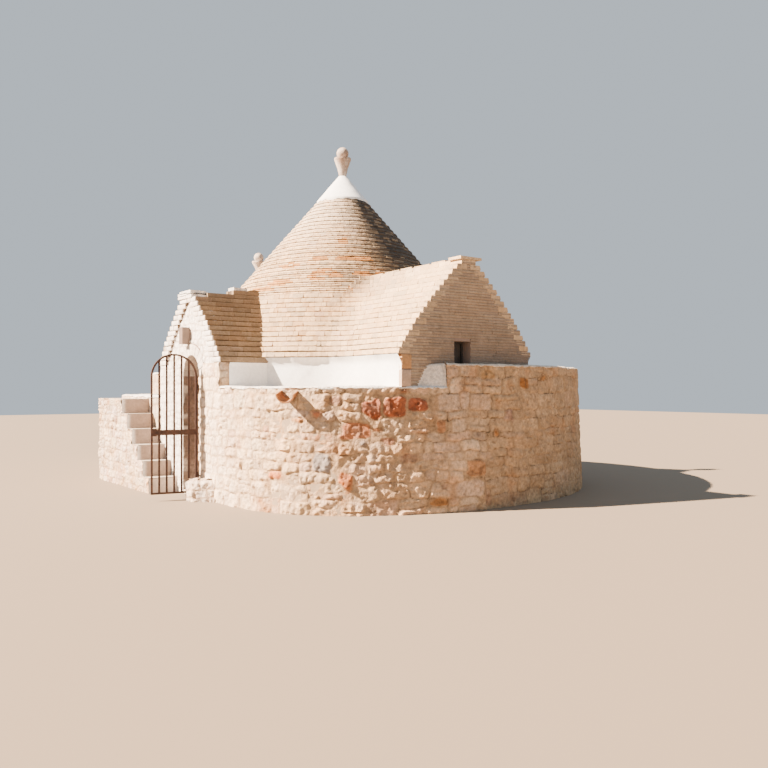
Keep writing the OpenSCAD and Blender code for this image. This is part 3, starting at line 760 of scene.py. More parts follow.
def arc(cx, cy, radius, a0, a1):
    """Points of the plan along a circle, about 5 cm apart."""
    count = max(2, int(abs(a1 - a0) * radius / 0.05) + 1)
    turns = [a0 + (a1 - a0) * i / count for i in range(count + 1)]
    return [(cx + radius * math.cos(a), cy + radius * math.sin(a)) for a in turns]


def coping(pile, place, s0, s1, top, seed, step=0.02, tone=WHITE, drip=0.03):
    """White mortar that rounds a wall's top edge and runs back over it."""
    s = np.linspace(s0, s1, max(2, round((s1 - s0) / step)) + 1)

    def waves(fine, extra):
        return drift(s, s * 0, fine, seed + extra)

    drips = drip * (0.5 + 0.5 * waves(5.0, 0)) + 0.012 * waves(16.0, 1)
    swell = 0.006 * waves(7.0, 2) + 0.004 * waves(22.0, 3)
    rise = 0.006 * waves(3.0, 4) + 0.004 * waves(13.0, 5)
    rows = [(top - 0.006 - down * (0.008 + drips), out + swell)
            for down, out in ((1.0, 0.000), (0.9, 0.016), (0.35, 0.024), (0.0, 0.020))]
    rows += [(top + up + rise, out + swell)
             for up, out in ((0.004, 0.008), (0.012, -0.020), (0.012, -0.14), (0.010, -0.28))]
    points = np.stack([stack(place, s, z, out) for z, out in rows])
    uneven = drift(points[..., 0], points[..., 2] + points[..., 1], 9.0, seed + 6)
    pile.grid(points, np.array(tone) * (0.97 + 0.05 * uneven)[..., None])


# Roofs

def in_entrance_wing(point):
    """True for cone slabs that lie within the entrance wing's roof."""
    x, y, z = point
    k = (z - WING_Z) / COURSE_H - 0.5
    return y < 0 and k < WING_COURSES and abs(x - WING_X) < wing_w(k) - 0.04


def in_main_cone(point):
    """True for slabs of the second cone that lie within the first."""
    x, y, z = point
    k = (z - EAVE_Z) / COURSE_H
    return 0 < k < COURSES and math.hypot(x, y) < cone_r(k) - 0.05


def valley(radius, offset, side, blend_r):
    """The rounded corner where a circle about the axis meets a straight side of the side wing."""
    y = offset + side * blend_r
    x = math.sqrt((radius + blend_r) ** 2 - y * y)
    to_circle = math.atan2(-y, -x)
    to_line = math.atan2(-side, 0.0)
    turn = (to_circle - to_line + math.pi) % (2 * math.pi) - math.pi
    return x, y, to_line, turn, math.atan2(y, x)


def slope_valley(k, side):
    """The rounded corner of one roof course, tighter towards the ridge."""
    bend = CORNER_TOP_R + (CORNER_LOW_R - CORNER_TOP_R) * (1 - k / SIDE_COURSES)
    return valley(cone_r(k), SIDE_Y + side * side_w(k), side, bend)


def behind_valley(point):
    """True for cone slabs that the rounded corners or the side wing cover."""
    x, y, z = point
    k = int((z - EAVE_Z) / COURSE_H)
    if x < 0 or k >= SIDE_COURSES:
        return False
    inside = 0.08 / cone_r(k)
    return slope_valley(k, -1)[4] + inside < math.atan2(y, x) < slope_valley(k, 1)[4] - inside


def cone_slabs(name, cx, cy, count, radius_of, seed, tint_of, skip, material, fine_from=99):
    """A cone's courses; from fine_from on each is two thinner rows."""
    rng = random.Random(seed)
    pile = Pile()
    for k in range(count):
        radius = radius_of(k)
        turn = rng.uniform(0, 2 * math.pi)
        longest = min(0.25, radius * 0.42)

        def place(t, z, out):
            a = turn + t / radius
            return (cx + (radius + out) * math.cos(a), cy + (radius + out) * math.sin(a), z)

        def row(z, height, lengths, proud, **how):
            course(pile, place, 0.0, 2 * math.pi * radius, z, height, rng, tint_of, lengths, proud,
                   skip=skip, gap=OPEN_GAP, **how)

        if k < fine_from:
            row(course_z(k), COURSE_H, (longest * 0.24, longest * 0.66), (0.012, 0.028),
                wave=0.006 if k else 0.0, lift=0.005 if k else 0.0, lean=0.85)
            continue
        for part, proud in ((0.0, (0.016, 0.027)), (0.5, (0.004, 0.013))):
            row(course_z(k) + part * COURSE_H, COURSE_H / 2, (0.055, min(0.16, longest)), proud,
                wave=0.005, lean=0.5)
    pile.make(name, material)


def entrance_slabs(material):
    """The entrance wing's courses, and the white stones along its gable's edges."""
    rng = random.Random(31)
    pile = Pile()
    for k in range(WING_COURSES):
        z = WING_Z + k * COURSE_H
        half = wing_w(k)
        cone = cone_r(k - 1) if k else DRUM_R
        at_top = k >= WING_COURSES - len(TOP_SETBACKS)
        front = FACADE_Y + (TOP_SETBACKS[k - WING_COURSES] if at_top else 0.0)
        for side in (-1, 1):
            x = WING_X + side * half
            back = -math.sqrt(max(cone * cone - x * x, 0.0)) + 0.05

            def verge(t, zz, out):
                return (WING_X + side * t, FACADE_Y - out, zz)

            course(pile, facing_x(x, side), front - 0.01, back, z, COURSE_H, rng, shaded_roof_tint,
                   (0.14, 0.34), (0.008, 0.018), depth=0.06, lift=0.002, lean=0.7)
            if at_top:
                continue
            notch = k % 2 == 1 and side < 0
            inner = max(half - VERGE_W - 0.05, 0.0)
            jut = 0.008 if notch else rng.uniform(0.018, 0.026)
            cut = inner + (half - inner) * rng.uniform(0.35, 0.65)
            for a, b in ((inner, cut), (cut, half + 0.003)):
                if b - a < 0.03:
                    continue
                tint = blend(rubble_tint((x, FACADE_Y, z), rng), WHITE, rng.uniform(0.62, 0.95))
                slab(pile, verge, a, b - 0.004, z, z + COURSE_H, jut + rng.uniform(-0.006, 0.006),
                     0.14, rng, tint)
    pile.make("entrance_roof_slabs", material)


def side_slabs(material):
    """The side wing's courses, rounded into those of the cone."""
    rng = random.Random(47)
    pile = Pile()
    for k in range(SIDE_COURSES):
        z = course_z(k)
        half = side_w(k)
        for side in (-1, 1):
            y = SIDE_Y + side * half
            cx, cy, to_line, turn, _ = slope_valley(k, side)
            bend = abs(cy - y)
            corner = abs(turn) * bend

            def slope(t, zz, out):
                if t > corner:
                    return (cx + t - corner, y + side * out, zz)
                a = to_line + turn * (1 - t / corner)
                return (cx + (bend - out) * math.cos(a), cy + (bend - out) * math.sin(a), zz)

            split = corner + rng.uniform(-0.15, 0.15)
            end = corner + GABLE_X + 0.008 - cx
            for t0, t1, lengths, gap in ((-0.07, split, (0.06, 0.17), OPEN_GAP),
                                         (split, end, (0.10, 0.26), (0.0, 0.003))):
                course(pile, slope, t0, t1, z, COURSE_H, rng, side_tint, lengths, (0.012, 0.026),
                       depth=0.16, lift=0.002 if k else 0.0, wave=0.006 if k else 0.0, lean=0.8, gap=gap)
    pile.make("side_roof_slabs", material)


def ridge_stones(material):
    """Loose stones along both ridges."""
    rng = random.Random(5)
    pile = Pile()

    def block(place, t0, t1, z, height, tone):
        slab(pile, place, t0, t1, z, z + height, RIDGE_W / 2, RIDGE_W / 2, rng, shade(tone, rng))

    wing_top = WING_Z + WING_COURSES * COURSE_H
    side_top = course_z(SIDE_COURSES)
    for t0, t1, height in ((-2.68, -2.40, 0.020), (-2.24, -2.02, 0.055), (-1.98, -1.80, 0.030),
                           (-1.72, -1.50, 0.060), (-1.48, -1.30, 0.035)):
        tone = WHITE if height > 0.05 else OLIVE
        base = wing_top if t0 > -2.25 else wing_top - COURSE_H
        block(facing_x(WING_X), t0, t1, base - 0.005, height, tone)
    for t0, t1, height in ((1.6, 1.9, 0.02), (1.95, 2.3, 0.025), (2.34, 2.6, 0.03), (2.66, 3.0, 0.022),
                           (3.05, 3.34, 0.028)):
        block(facing_y(SIDE_Y), t0, t1, side_top - 0.006, height, PALE)
    pile.make("ridge_stones", material)


def cap_stones(material):
    """The rough stones that crown the two gables, in place of the plain blocks."""
    rng = random.Random(8)
    whole = ((0.0, 1.0, 0.0, 1.0),)
    heaped = ((0.0, 1.0, 0.0, 0.40), (0.0, 0.66, 0.36, 0.72), (0.12, 0.94, 0.66, 1.0))
    for name, tone in (("entrance_cap", WHITE), ("side_cap", PALE)):
        low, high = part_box(name + "_stone")
        pile = Pile()
        tall = high[2] - low[2]
        half = (high[1] - low[1]) / 2 - 0.008
        place = facing_y((low[1] + high[1]) / 2)
        for a, b, foot, top in heaped if tall > 0.06 else whole:
            x0, x1 = (low[0] + (high[0] - low[0]) * part for part in (a, b))
            slab(pile, place, x0 + 0.004, x1 - 0.004, low[2] + tall * foot - 0.012, low[2] + tall * top,
                 half, half, rng, shade(tone, rng, 0.06))
        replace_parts(pile.make(name, material), name + "_stone")


def gable_courses(material):
    """Coursed slabs of the side gable, left out over the small window."""
    rng = random.Random(61)
    pile = Pile()
    place = facing_x(GABLE_X)
    (_, left, sill), (_, right, head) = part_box("side_window_frame")

    def tint_of(point, rng):
        tone = blend(roof_tint(point, rng), GABLE_SHADE, 0.66)
        # Darker low down, away from the near corner.
        low_dark = unit((2.75 - point[2]) / 0.8) * unit((point[1] + 1.3) / 0.5)
        return shade(blend(tone, GABLE_LOW_TONE, 0.62 * low_dark), rng, 0.04)

    rows = int(round((side_high[2] - side_low[2]) / COURSE_H))
    low = side_high[2] - rows * COURSE_H
    for i in range(rows):
        z = low + i * COURSE_H
        k = i - (rows - SIDE_COURSES)
        reach = (side_w(k) if k >= 0 else SIDE_HALF - 0.06) + 0.008
        start, end = SIDE_Y - reach, SIDE_Y + reach
        spans = [(start, end)]
        if z + COURSE_H > sill + 0.01 and z < head - 0.01:
            spans = [(start, left), (right, end)]
        if k < 0:
            spans[0] = (start + QUOIN_W, spans[0][1])
        for t0, t1 in spans:
            for part in (0.0, 0.5):
                course(pile, place, t0, t1, z + part * COURSE_H, COURSE_H / 2, rng, tint_of, (0.12, 0.5),
                       (0.004, 0.012), depth=0.05, lift=0.0, wave=0.0, bed=(0.0, 0.005))
    corner = SIDE_Y - SIDE_HALF + 0.052
    for z0, z1, tint in ((EAVE_Z - 0.19, EAVE_Z - 0.004, (0.74, 0.40, 0.18)),
                         (LEDGE_LOW, EAVE_Z - 0.196, (0.78, 0.55, 0.40))):
        slab(pile, place, corner, corner + QUOIN_W - 0.002, z0, z1, 0.012, 0.05, rng, tint)
    pile.make("side_gable_courses", material)


# Rubble walls

def circle_crossing():
    """Angles where the ring wall's circle meets the second room's circle."""
    r0, r1 = BACK_FOOT, SECOND_WALL_R
    d = math.hypot(SECOND_X, SECOND_Y)
    bearing = math.atan2(SECOND_Y, SECOND_X)
    main = math.acos((r0 * r0 + d * d - r1 * r1) / (2 * r0 * d))
    other = math.acos((r1 * r1 + d * d - r0 * r0) / (2 * r1 * d))
    return bearing, main, other


def wall_path():
    """From the doorway's right cheek along the facade, the bend and the ring."""
    along = Vector((math.cos(SKEW), math.sin(SKEW)))
    start = Vector((WALL_RIGHT, FACADE_Y)) + Vector((-along.y, along.x)) * BEND_R
    b = start.dot(along)
    centre = start + along * (-b + math.sqrt(b * b - start.dot(start) + (RING_FOOT - BEND_R) ** 2))
    tangent = centre + Vector((along.y, -along.x)) * BEND_R
    bend_a = math.atan2(centre.y, centre.x)
    return Outline(
        [(DOOR_RIGHT, -math.sqrt(ROOM_R ** 2 - DOOR_RIGHT ** 2)), (DOOR_RIGHT, FACADE_Y),
         (WALL_RIGHT, FACADE_Y), (tangent.x, tangent.y)]
        + arc(centre.x, centre.y, BEND_R, SKEW - math.pi / 2, bend_a)[1:]
        + arc(0, 0, RING_FOOT, bend_a, SIDE_A)[1:],
        RING_FOOT, BATTER, LEDGE_LOW)


# Stones that stand out by colour: bearing in degrees, height, half width, half height
WALL_ACCENTS = (
    (-27.0, 1.32, 0.104, 0.116, (0.38, 0.095, 0.030)), (-22.7, 1.33, 0.132, 0.108, (0.42, 0.12, 0.045)),
    (-18.6, 1.35, 0.125, 0.075, (0.40, 0.11, 0.045)), (-21.3, 1.52, 0.076, 0.040, (0.34, 0.12, 0.05)),
    (-37.0, 1.25, 0.104, 0.055, (0.60, 0.22, 0.10)), (-40.5, 1.15, 0.094, 0.042, (0.70, 0.28, 0.07)),
    (-30.4, 1.05, 0.170, 0.092, (0.50, 0.18, 0.07)), (-45.8, 0.49, 0.076, 0.056, (0.76, 0.24, 0.06)),
    (-31.8, 0.39, 0.080, 0.141, (0.52, 0.16, 0.035)), (-35.9, 0.62, 0.097, 0.115, (0.46, 0.40, 0.37)),
    (-26.6, 0.08, 0.080, 0.049, (0.34, 0.19, 0.12)), (-26.5, 1.06, 0.069, 0.030, (0.48, 0.19, 0.07)),
    (-24.2, 0.90, 0.087, 0.055, (0.58, 0.28, 0.16)), (-14.4, 1.08, 0.052, 0.080, (0.66, 0.32, 0.15)),
    (-6.7, 0.56, 0.165, 0.100, (0.66, 0.34, 0.16)), (-14.4, 0.15, 0.122, 0.062, (0.62, 0.28, 0.09)),
    (-1.6, 1.00, 0.045, 0.058, (0.52, 0.21, 0.05)), (1.9, 1.22, 0.115, 0.100, (0.62, 0.38, 0.26)),
    (6.6, 1.64, 0.097, 0.067, (0.42, 0.17, 0.04)), (13.0, 1.72, 0.132, 0.062, (0.56, 0.27, 0.09)),
    (-3.0, 1.75, 0.118, 0.058, (0.66, 0.38, 0.17)), (-4.0, 0.15, 0.073, 0.115, (0.72, 0.44, 0.26)),
    (-13.6, 0.32, 0.063, 0.037, (0.74, 0.45, 0.33)), (-29.0, 0.86, 0.060, 0.050, (0.36, 0.30, 0.27)),
    (-34.0, 1.40, 0.100, 0.050, (0.62, 0.36, 0.24)), (-20.5, 0.70, 0.110, 0.060, (0.50, 0.29, 0.17)),
)


def wall_tint(point, rng):
    """Paler stones beside the door; round the ring, where it lies in shade, warmer tones, partly the
    stones' own and partly painted light for the warm glow thrown up from the ground; a lighter band about
    bearing -11 degrees, and duller stones far round. The doorway's right cheek is a dark tone of painted
    shade.
    """
    bearing = math.degrees(math.atan2(point[1], point[0]))
    # The doorway's right cheek: a dark tone of painted shade.
    if point[1] > FACADE_Y + 0.02 and point[0] < DOOR_RIGHT + 0.05:
        return shade(RIGHT_CHEEK_SHADE, rng, 0.12)
    pale = rubble_tint(point, rng)
    # Warmer tones round the shaded part of the ring: partly the stones' own colour, partly painted light
    # for the warm light thrown up from the ground.
    warm = blend(WALL_SHADE_NEAR, WALL_SHADE_FAR, unit((bearing + 27) / 11))
    warm = shade(blend(rubble_tint(point, rng), warm, 0.5), rng, 0.15)
    tone = blend(pale, warm, unit((bearing + 40) / 14))
    tone = blend(tone, WALL_SUN, 0.35 * unit(1 - abs(bearing + 11) / 7))
    return blend(tone, WALL_DULL, 0.5 * unit((bearing + 9) / 9))


def outside_arch(x, z):
    """Which places on the facade lie beside the doorway or over its arch."""
    return (z < DOOR_SPRING) | (np.hypot(x - DOOR_X, z - DOOR_SPRING) > ARCH_R - ARCH_TUCK)


def ring_wall(material):
    """The ring in one facing, from the doorway to the far side."""
    path = wall_path()
    s_door = path.near(DOOR_RIGHT, FACADE_Y)
    s_right = path.near(WALL_RIGHT, FACADE_Y)

    def bearing(degrees):
        a = math.radians(degrees)
        return path.near(RING_FOOT * math.cos(a), RING_FOOT * math.sin(a))

    s_high, s_step = bearing(HIGH_FACE_DEG), bearing(STEP_DEG)

    def place(s, z, out):
        x, y, _ = path.place(s, z, out)
        soft = 0.04 + 0.7 * step_up(z, 0.6, 1.3)
        back = step_up(s, s_step - soft, s_step + 0.03)
        inset = back * (BACK_IN - BATTER * z / LEDGE_LOW + BATTER * z / LEDGE_HIGH)
        pull = 1 - inset / np.hypot(x, y)
        return x * pull, y * pull, z

    def keep_of(s, z):
        pier = outside_arch(DOOR_RIGHT + s - s_door, z) & (z < WING_Z)
        low = np.where(s > s_high, z < LEDGE_HIGH, z < LEDGE_LOW)
        return np.where(s < s_door, z < DOOR_SPRING, np.where(s < s_right, pier, low))

    def wash(s, z):
        run = s - s_right
        lime = np.interp(run, [-0.6, 0.0, 0.5, 1.2, 2.0, 2.6, 3.1],
                         [0.85, 0.56, 0.28, 0.14, 0.06, 0.0, -0.2])
        # The right cheek takes little lime, to keep its painted shade dark.
        lime = np.where(s < s_door + 0.01, 0.08, lime)
        edge = step_up(z, LEDGE_LOW - 0.08, LEDGE_LOW) * (run > 0) * (s < s_high)
        return lime + 0.35 * edge + 0.4 * step_up(z, LEDGE_HIGH - 0.03, LEDGE_HIGH)

    pile = Pile()
    rubble(pile, place, 0.0, path.length, 0.0, LEDGE_HIGH, 77, wall_tint, wash, step=0.0145,
           rows=(0.10, 0.24), widths=(0.11, 0.38), jut=(0.008, 0.030), rough=1.3, keep_of=keep_of,
           accents=[(bearing(a), *rest) for a, *rest in WALL_ACCENTS], marks=(s_door, s_right, s_high),
           levels=(0.0, LEDGE_LOW, DOOR_SPRING, WING_Z, LEDGE_HIGH),
           most=lambda s, z: np.where(s < s_right, 0.020, np.where(s < s_step - 0.8, 0.05, 0.026)),
           scale=lambda s: 0.75 if s < s_right + 1.0 else 1.1 if s < s_step else 1.6,
           mortar=(0.66, 0.43, 0.24), crack=0.88, lime_tone=(1.28, 1.08, 0.88))
    coping(pile, place, s_right + 0.01, s_high, LEDGE_LOW, 400, drip=0.02)
    coping(pile, place, s_high, path.length, LEDGE_HIGH, 410, drip=0.010, tone=(1.15, 1.0, 0.84))
    pile.skin("ring_wall_stones", material)
    high_wall_end(place(s_high, (LEDGE_LOW + LEDGE_HIGH) / 2, 0.014), material)


def high_wall_end(corner, material):
    """The limewashed end of the high wall, rounded at its top and run back over it, coloured brighter
    than its lime as painted sunlight.
    """
    run = Vector((float(corner[0]) - HIGH_END[0], float(corner[1]) - HIGH_END[1]))
    back = Vector((-run.y, run.x)).normalized()
    u = np.linspace(0.0, 1.0, 30)
    top = LEDGE_HIGH + 0.010 - 0.05 * (1 - u) ** 2
    upright = [(i / 18, 0.05 * i / 18) for i in range(17)]
    rows = []
    for h, off in upright + [(0.955, 0.053), (0.985, 0.065), (1.0, 0.09), (1.0, 0.42)]:
        z = LEDGE_LOW + (top - LEDGE_LOW) * h
        out = 0.006 * drift(u * run.length, z, 6.0, 420) + 0.003 * drift(u * run.length, z, 21.0, 421)
        rows.append(np.stack([HIGH_END[0] + run.x * u + back.x * (off - out),
                              HIGH_END[1] + run.y * u + back.y * (off - out), z], -1))
    end = Pile()
    # Painted light: a warm cream above the lime's own white, for the sun that this face, turned away from
    # it, does not get.
    end.grid(np.stack(rows), np.array((1.30, 1.14, 0.98)))
    end.skin("high_wall_end", material)


def other_walls(material):
    """The ring wall's far sides, the second room's wall and the terrace wall."""
    bearing, main, other = circle_crossing()
    turn = bearing + math.pi
    corner_x = -math.sqrt(RING_FOOT ** 2 - FACADE_Y ** 2)
    back = Outline(arc(0, 0, BACK_FOOT, SIDE_A, bearing - main), BACK_FOOT, BATTER, LEDGE_HIGH)
    second = Outline(arc(SECOND_X, SECOND_Y, SECOND_WALL_R, turn - 2 * math.pi + other, turn - other))
    terrace = Outline(
        arc(0, 0, RING_FOOT, bearing + main - 2 * math.pi, math.atan2(FACADE_Y, corner_x))
        + [(WALL_LEFT, FACADE_Y)], RING_FOOT, BATTER, TERRACE_Z)
    corner = terrace.near(corner_x, FACADE_Y)
    for name, path, top, seed, wash, marks, step in (
            ("back_wall_stones", back, LEDGE_HIGH, 79, None, (), 0.05),
            ("second_wall_stones", second, LEDGE_HIGH, 80, 0.25, (), 0.05),
            ("terrace_wall_stones", terrace, TERRACE_Z, 81,
             lambda s, z: np.where(s > corner, 0.45, 0.1), (corner,), 0.02)):
        pile = Pile()
        rubble(pile, path.place, 0.0, path.length, 0.0, top, seed, rubble_tint, wash, marks=marks,
               step=0.035, rows=(0.13, 0.26), widths=(0.18, 0.46))
        coping(pile, path.place, 0.0, path.length, top, 430 + (seed - 79) * 10, step=step)
        pile.skin(name, material)


SMALL = {"rows": (0.08, 0.17), "widths": (0.09, 0.24), "jut": (0.003, 0.012), "step": 0.016,
         "rough": 0.8}


def entrance_walls(material):
    """Limewashed stones of the left pier, the infill and the strip at the corner."""
    pile = Pile()
    path = Outline([(WALL_LEFT, FACADE_Y), (DOOR_LEFT, FACADE_Y),
                    (DOOR_LEFT, -math.sqrt(ROOM_R ** 2 - DOOR_LEFT ** 2))])
    s_door = path.near(DOOR_LEFT, FACADE_Y)

    def pier_keep(s, z):
        return np.where(s < s_door, outside_arch(WALL_LEFT + s, z), z < DOOR_SPRING)

    def pier_tint(point, rng):
        # The doorway's left cheek: a dark tone of painted shade.
        if point[1] > FACADE_Y + 0.02:
            return shade(LEFT_CHEEK_SHADE, rng, 0.05)
        return washed_tint(point, rng)

    def infill_keep(s, z):
        k = (z - WING_Z) / COURSE_H
        half = slope_half(k, WING_COURSES, WING_HALF, WING_BULGE) - VERGE_W + 0.06
        return outside_arch(s, z) & (np.abs(s - WING_X) < half)

    # The left cheek takes no lime, to keep its painted shade dark.
    rubble(pile, path.place, 0.0, path.length, 0.0, WING_Z, 82, pier_tint,
           lambda s, z: np.where(s > s_door, -0.3, 0.78), keep_of=pier_keep, marks=(s_door,),
           levels=(0.0, DOOR_SPRING, WING_Z), most=0.018, mortar=(0.42, 0.31, 0.26), **SMALL)
    rubble(pile, facing_y(INFILL_Y, -1), WING_X - 1.0, WING_X + 1.0, WING_Z, WING_Z + 0.98, 83,
           washed_tint, 0.78, keep_of=infill_keep, most=0.03, **SMALL)
    # The strip at the corner takes little lime, partly as painted shade on this side turned from the sun.
    rubble(pile, facing_x(WALL_RIGHT), FACADE_Y - 0.014, FACADE_Y + STRIP_W, LEDGE_LOW, WING_Z, 84,
           rubble_tint, 0.15, **SMALL)
    pile.skin("entrance_stones", material)


def arch_stones(material):
    """Wedge stones round the doorway's head."""
    rng = random.Random(12)
    pile = Pile()
    count = 11
    half = math.pi / count / 2 - 0.008
    inner = DOOR_R - 0.004
    for i in range(count):
        middle = math.pi * (i + 0.5) / count
        tint = blend(rubble_tint((DOOR_X, FACADE_Y, DOOR_SPRING), rng), WHITE, 0.7)
        jut = rng.uniform(0.004, 0.012)
        outer = ARCH_R + rng.uniform(-0.012, 0.012)
        rings = []
        for y, worn in ((FACADE_Y + 0.3, 0.0), (FACADE_Y - jut + 0.006, 0.0), (FACADE_Y - jut, 0.007)):
            low, high = inner + worn, outer - worn
            corners = ((low, -1), (high, -1), (high, 0), (high, 1), (low, 1), (low, 0))
            turns = [(r, middle + side * (half - worn / 0.4)) for r, side in corners]
            rings.append([(DOOR_X + r * math.cos(a), y, DOOR_SPRING + r * math.sin(a)) for r, a in turns])
        pile.loft(rings, tint)
    pile.make("arch_stones", material)


def stair(stones, dressed):
    """Rubble sides of the stair and its plain risers."""
    low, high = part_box("stair_treads")
    front, head, foot_x = low[1], high[2], high[0]
    rises, tread = 6, 0.25
    rise = head / rises

    def step_of(x):
        return np.minimum(np.floor((foot_x - x) / tread) + 1, rises)

    pile = Pile()
    rubble(pile, facing_y(front, -1), low[0], foot_x, 0.0, head, 85, rubble_tint, 0.22,
           step=tread / 17, rows=(0.09, 0.20), widths=(0.11, 0.32), jut=(0.008, 0.026), rough=1.5,
           crack=0.8, keep_of=lambda s, z: z < step_of(s) * rise - 0.002,
           levels=[rise * k for k in range(rises + 1)], marks=[foot_x - tread * k for k in range(rises)])
    rubble(pile, lambda s, z, d: (low[0] - d, -s, z), -FACADE_Y, -front, 0.0, head, 86, rubble_tint,
           step=0.03)
    pile.skin("stair_side_stones", stones)

    risers = Pile()
    s = np.linspace(front - 0.012, FACADE_Y, 24)
    for k in range(rises):
        ss, zz = np.meshgrid(s, np.linspace(rise * k, rise * (k + 1) - 0.012, 10))
        out = 0.010 + 0.005 * drift(ss, zz, 7.0, 500 + k) + 0.002 * drift(ss, zz, 25.0, 510 + k)
        # The lowest riser is pale cream as painted light, for sun that this face does not get; the others
        # keep a plain brown-grey.
        own = (0.50, 0.38, 0.31) if k else (1.10, 0.96, 0.84)
        tone = np.array(own) * (1 + 0.10 * drift(ss, zz, 3.0, 520 + k))[..., None]
        # Towards the front each riser turns white: whitewash, and partly painted light on the rounded
        # front edge.
        end = step_up(ss, front + 0.06, front)[..., None]
        risers.grid(np.stack([foot_x - tread * k + out, ss, zz], -1),
                    tone + (np.array(WHITE) * 0.92 - tone) * end)
    risers.skin("stair_risers", dressed)


def jamb_foot(material):
    """The craggy stones at the jamb's foot, in place of the plain block."""
    (x0, y0, _), (x1, _, top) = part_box("jamb_foot")
    corner_x, corner_y = x1 - 0.22, y0 + 0.01
    path = Outline([(x0, FACADE_Y), (x0, y0 + 0.05), (x0 + 0.05, corner_y), (corner_x, corner_y),
                    (x1, FACADE_Y)])
    pile = Pile()
    bulky = {"rows": (0.08, 0.13), "widths": (0.09, 0.19), "jut": (0.006, 0.024), "step": 0.013,
             "rough": 1.5}

    def place(s, z, out):
        return path.place(s, z, out - 0.045 * step_up(z, top - 0.05, top))

    def inside(x, y):
        end = x1 + (corner_x - x1) * (FACADE_Y - y) / (FACADE_Y - corner_y)
        return (x > x0 + 0.05) & (x < end - 0.04) & (y > y0 + 0.06)

    rubble(pile, place, 0.0, path.length, 0.0, top, 87, rubble_tint, 0.45,
           most=lambda s, z: np.where(s < 0.24, 0.004, 0.03), **bulky)
    rubble(pile, lambda x, y, d: (x, y, top + d - 0.016), x0, x1, y0, FACADE_Y, 88, rubble_tint, 0.35,
           keep_of=inside, **bulky)
    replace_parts(pile.skin("jamb_foot_stones", material), "jamb_foot")


# The gate's leaf

def gate_bars(material):
    """The leaf's frame and bars a little stouter than the CAD's, as rust has made them."""
    hinge = Vector((DOOR_RIGHT + 0.050, FACADE_Y - 0.040))
    open_a = math.radians(82)
    along = Vector((-math.cos(open_a), -math.sin(open_a)))
    across = Vector((-along.y, along.x))
    low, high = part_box("gate_leaf")
    foot, near, reach = low[2], 0.018, 0.660
    wide, thick = 0.026, 0.014
    rod, rod_deep, rods = 0.015, 0.017, 5
    eye_r, bore_r, eye_tall = 0.013, 0.0064, 0.05
    bend_r = (reach - near) / 2
    middle = near + bend_r
    spring = high[2] - bend_r
    pile = Pile()
    rng = random.Random(9)

    def spot(t, out, z):
        return (hinge.x + along.x * t + across.x * out, hinge.y + along.y * t + across.y * out, z)

    def ring(t, r, deep, z, count):
        return [spot(t + r * math.cos(a), deep * math.sin(a), z)
                for a in (2 * math.pi * j / count for j in range(count))]

    def bar(points, r_in, r_out):
        """A square section swept along (t, z, outward t, outward z)."""
        rings = []
        for t, z, nt, nz in points:
            wear = rng.uniform(-0.0008, 0.0008)
            rings.append([spot(t + nt * r, o + wear, z + nz * r)
                          for r, o in ((r_in, -thick), (r_out, -thick), (r_out, thick), (r_in, thick))])
        pile.loft(rings, WHITE)

    turns = [math.pi * i / 40 for i in range(41)]
    head = [(middle - bend_r * math.cos(a), spring + bend_r * math.sin(a), -math.cos(a), math.sin(a))
            for a in turns]
    bar([(near, foot, -1.0, 0.0), *head, (reach, foot, 1.0, 0.0)], -wide, 0.0)
    bar([(near, foot, 0.0, 1.0), (reach, foot, 0.0, 1.0)], 0.0, wide)
    for i in range(1, rods + 1):
        t = near + wide / 2 + i * (reach - near - wide) / (rods + 1)
        top = spring + math.sqrt((bend_r - wide / 2) ** 2 - (t - middle) ** 2)
        pile.loft([ring(t, rod, rod_deep, z, 12) for z in (foot + 0.01, top)], WHITE)
    for low_z in (0.330, 1.560):
        ends = (low_z, low_z + eye_tall)
        outer, bore = ([ring(0.0, r, r, z, 24) for z in ends] for r in (eye_r, bore_r))
        pile.loft([*outer, *bore[::-1]], WHITE, closed=True)
        strap = ((0.009, -0.006), (0.009, 0.006), (0.021, 0.006), (0.021, -0.006))
        pile.loft([[spot(t, out, z) for t, out in strap] for z in ends], WHITE)
    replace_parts(pile.make("gate_bars", material, body="gate"), "gate_leaf")


# White plaster

def plaster(name, place, s0, s1, z0, z1, seed, material, flare=0.04, step=0.06, band=0.10):
    """A hand trowelled face: a grid with a soft, uneven surface and a flared top."""
    columns = max(2, round(abs(s1 - s0) / step))
    levels = max(2, round((z1 - z0) / min(step, 0.03)))
    ss, zz = np.meshgrid(np.linspace(s0, s1, columns + 1), np.linspace(z0, z1, levels + 1))
    out = 0.010 + 0.006 * drift(ss, zz, 3.1, seed) + 0.003 * drift(ss, zz, 11.0, seed + 1)
    start = z1 - band * (1 + 0.35 * drift(ss, ss * 0, 2.2, seed + 2))
    lift = np.clip((zz - start) / (z1 - start), 0.0, 1.0)
    wave = 1 + 0.3 * drift(ss, ss * 0, 6.0, seed + 3)
    pile = Pile()
    pile.grid(stack(place, ss, zz, out + flare * wave * lift ** 1.4), np.array(WHITE))
    pile.skin(name, material, 80)


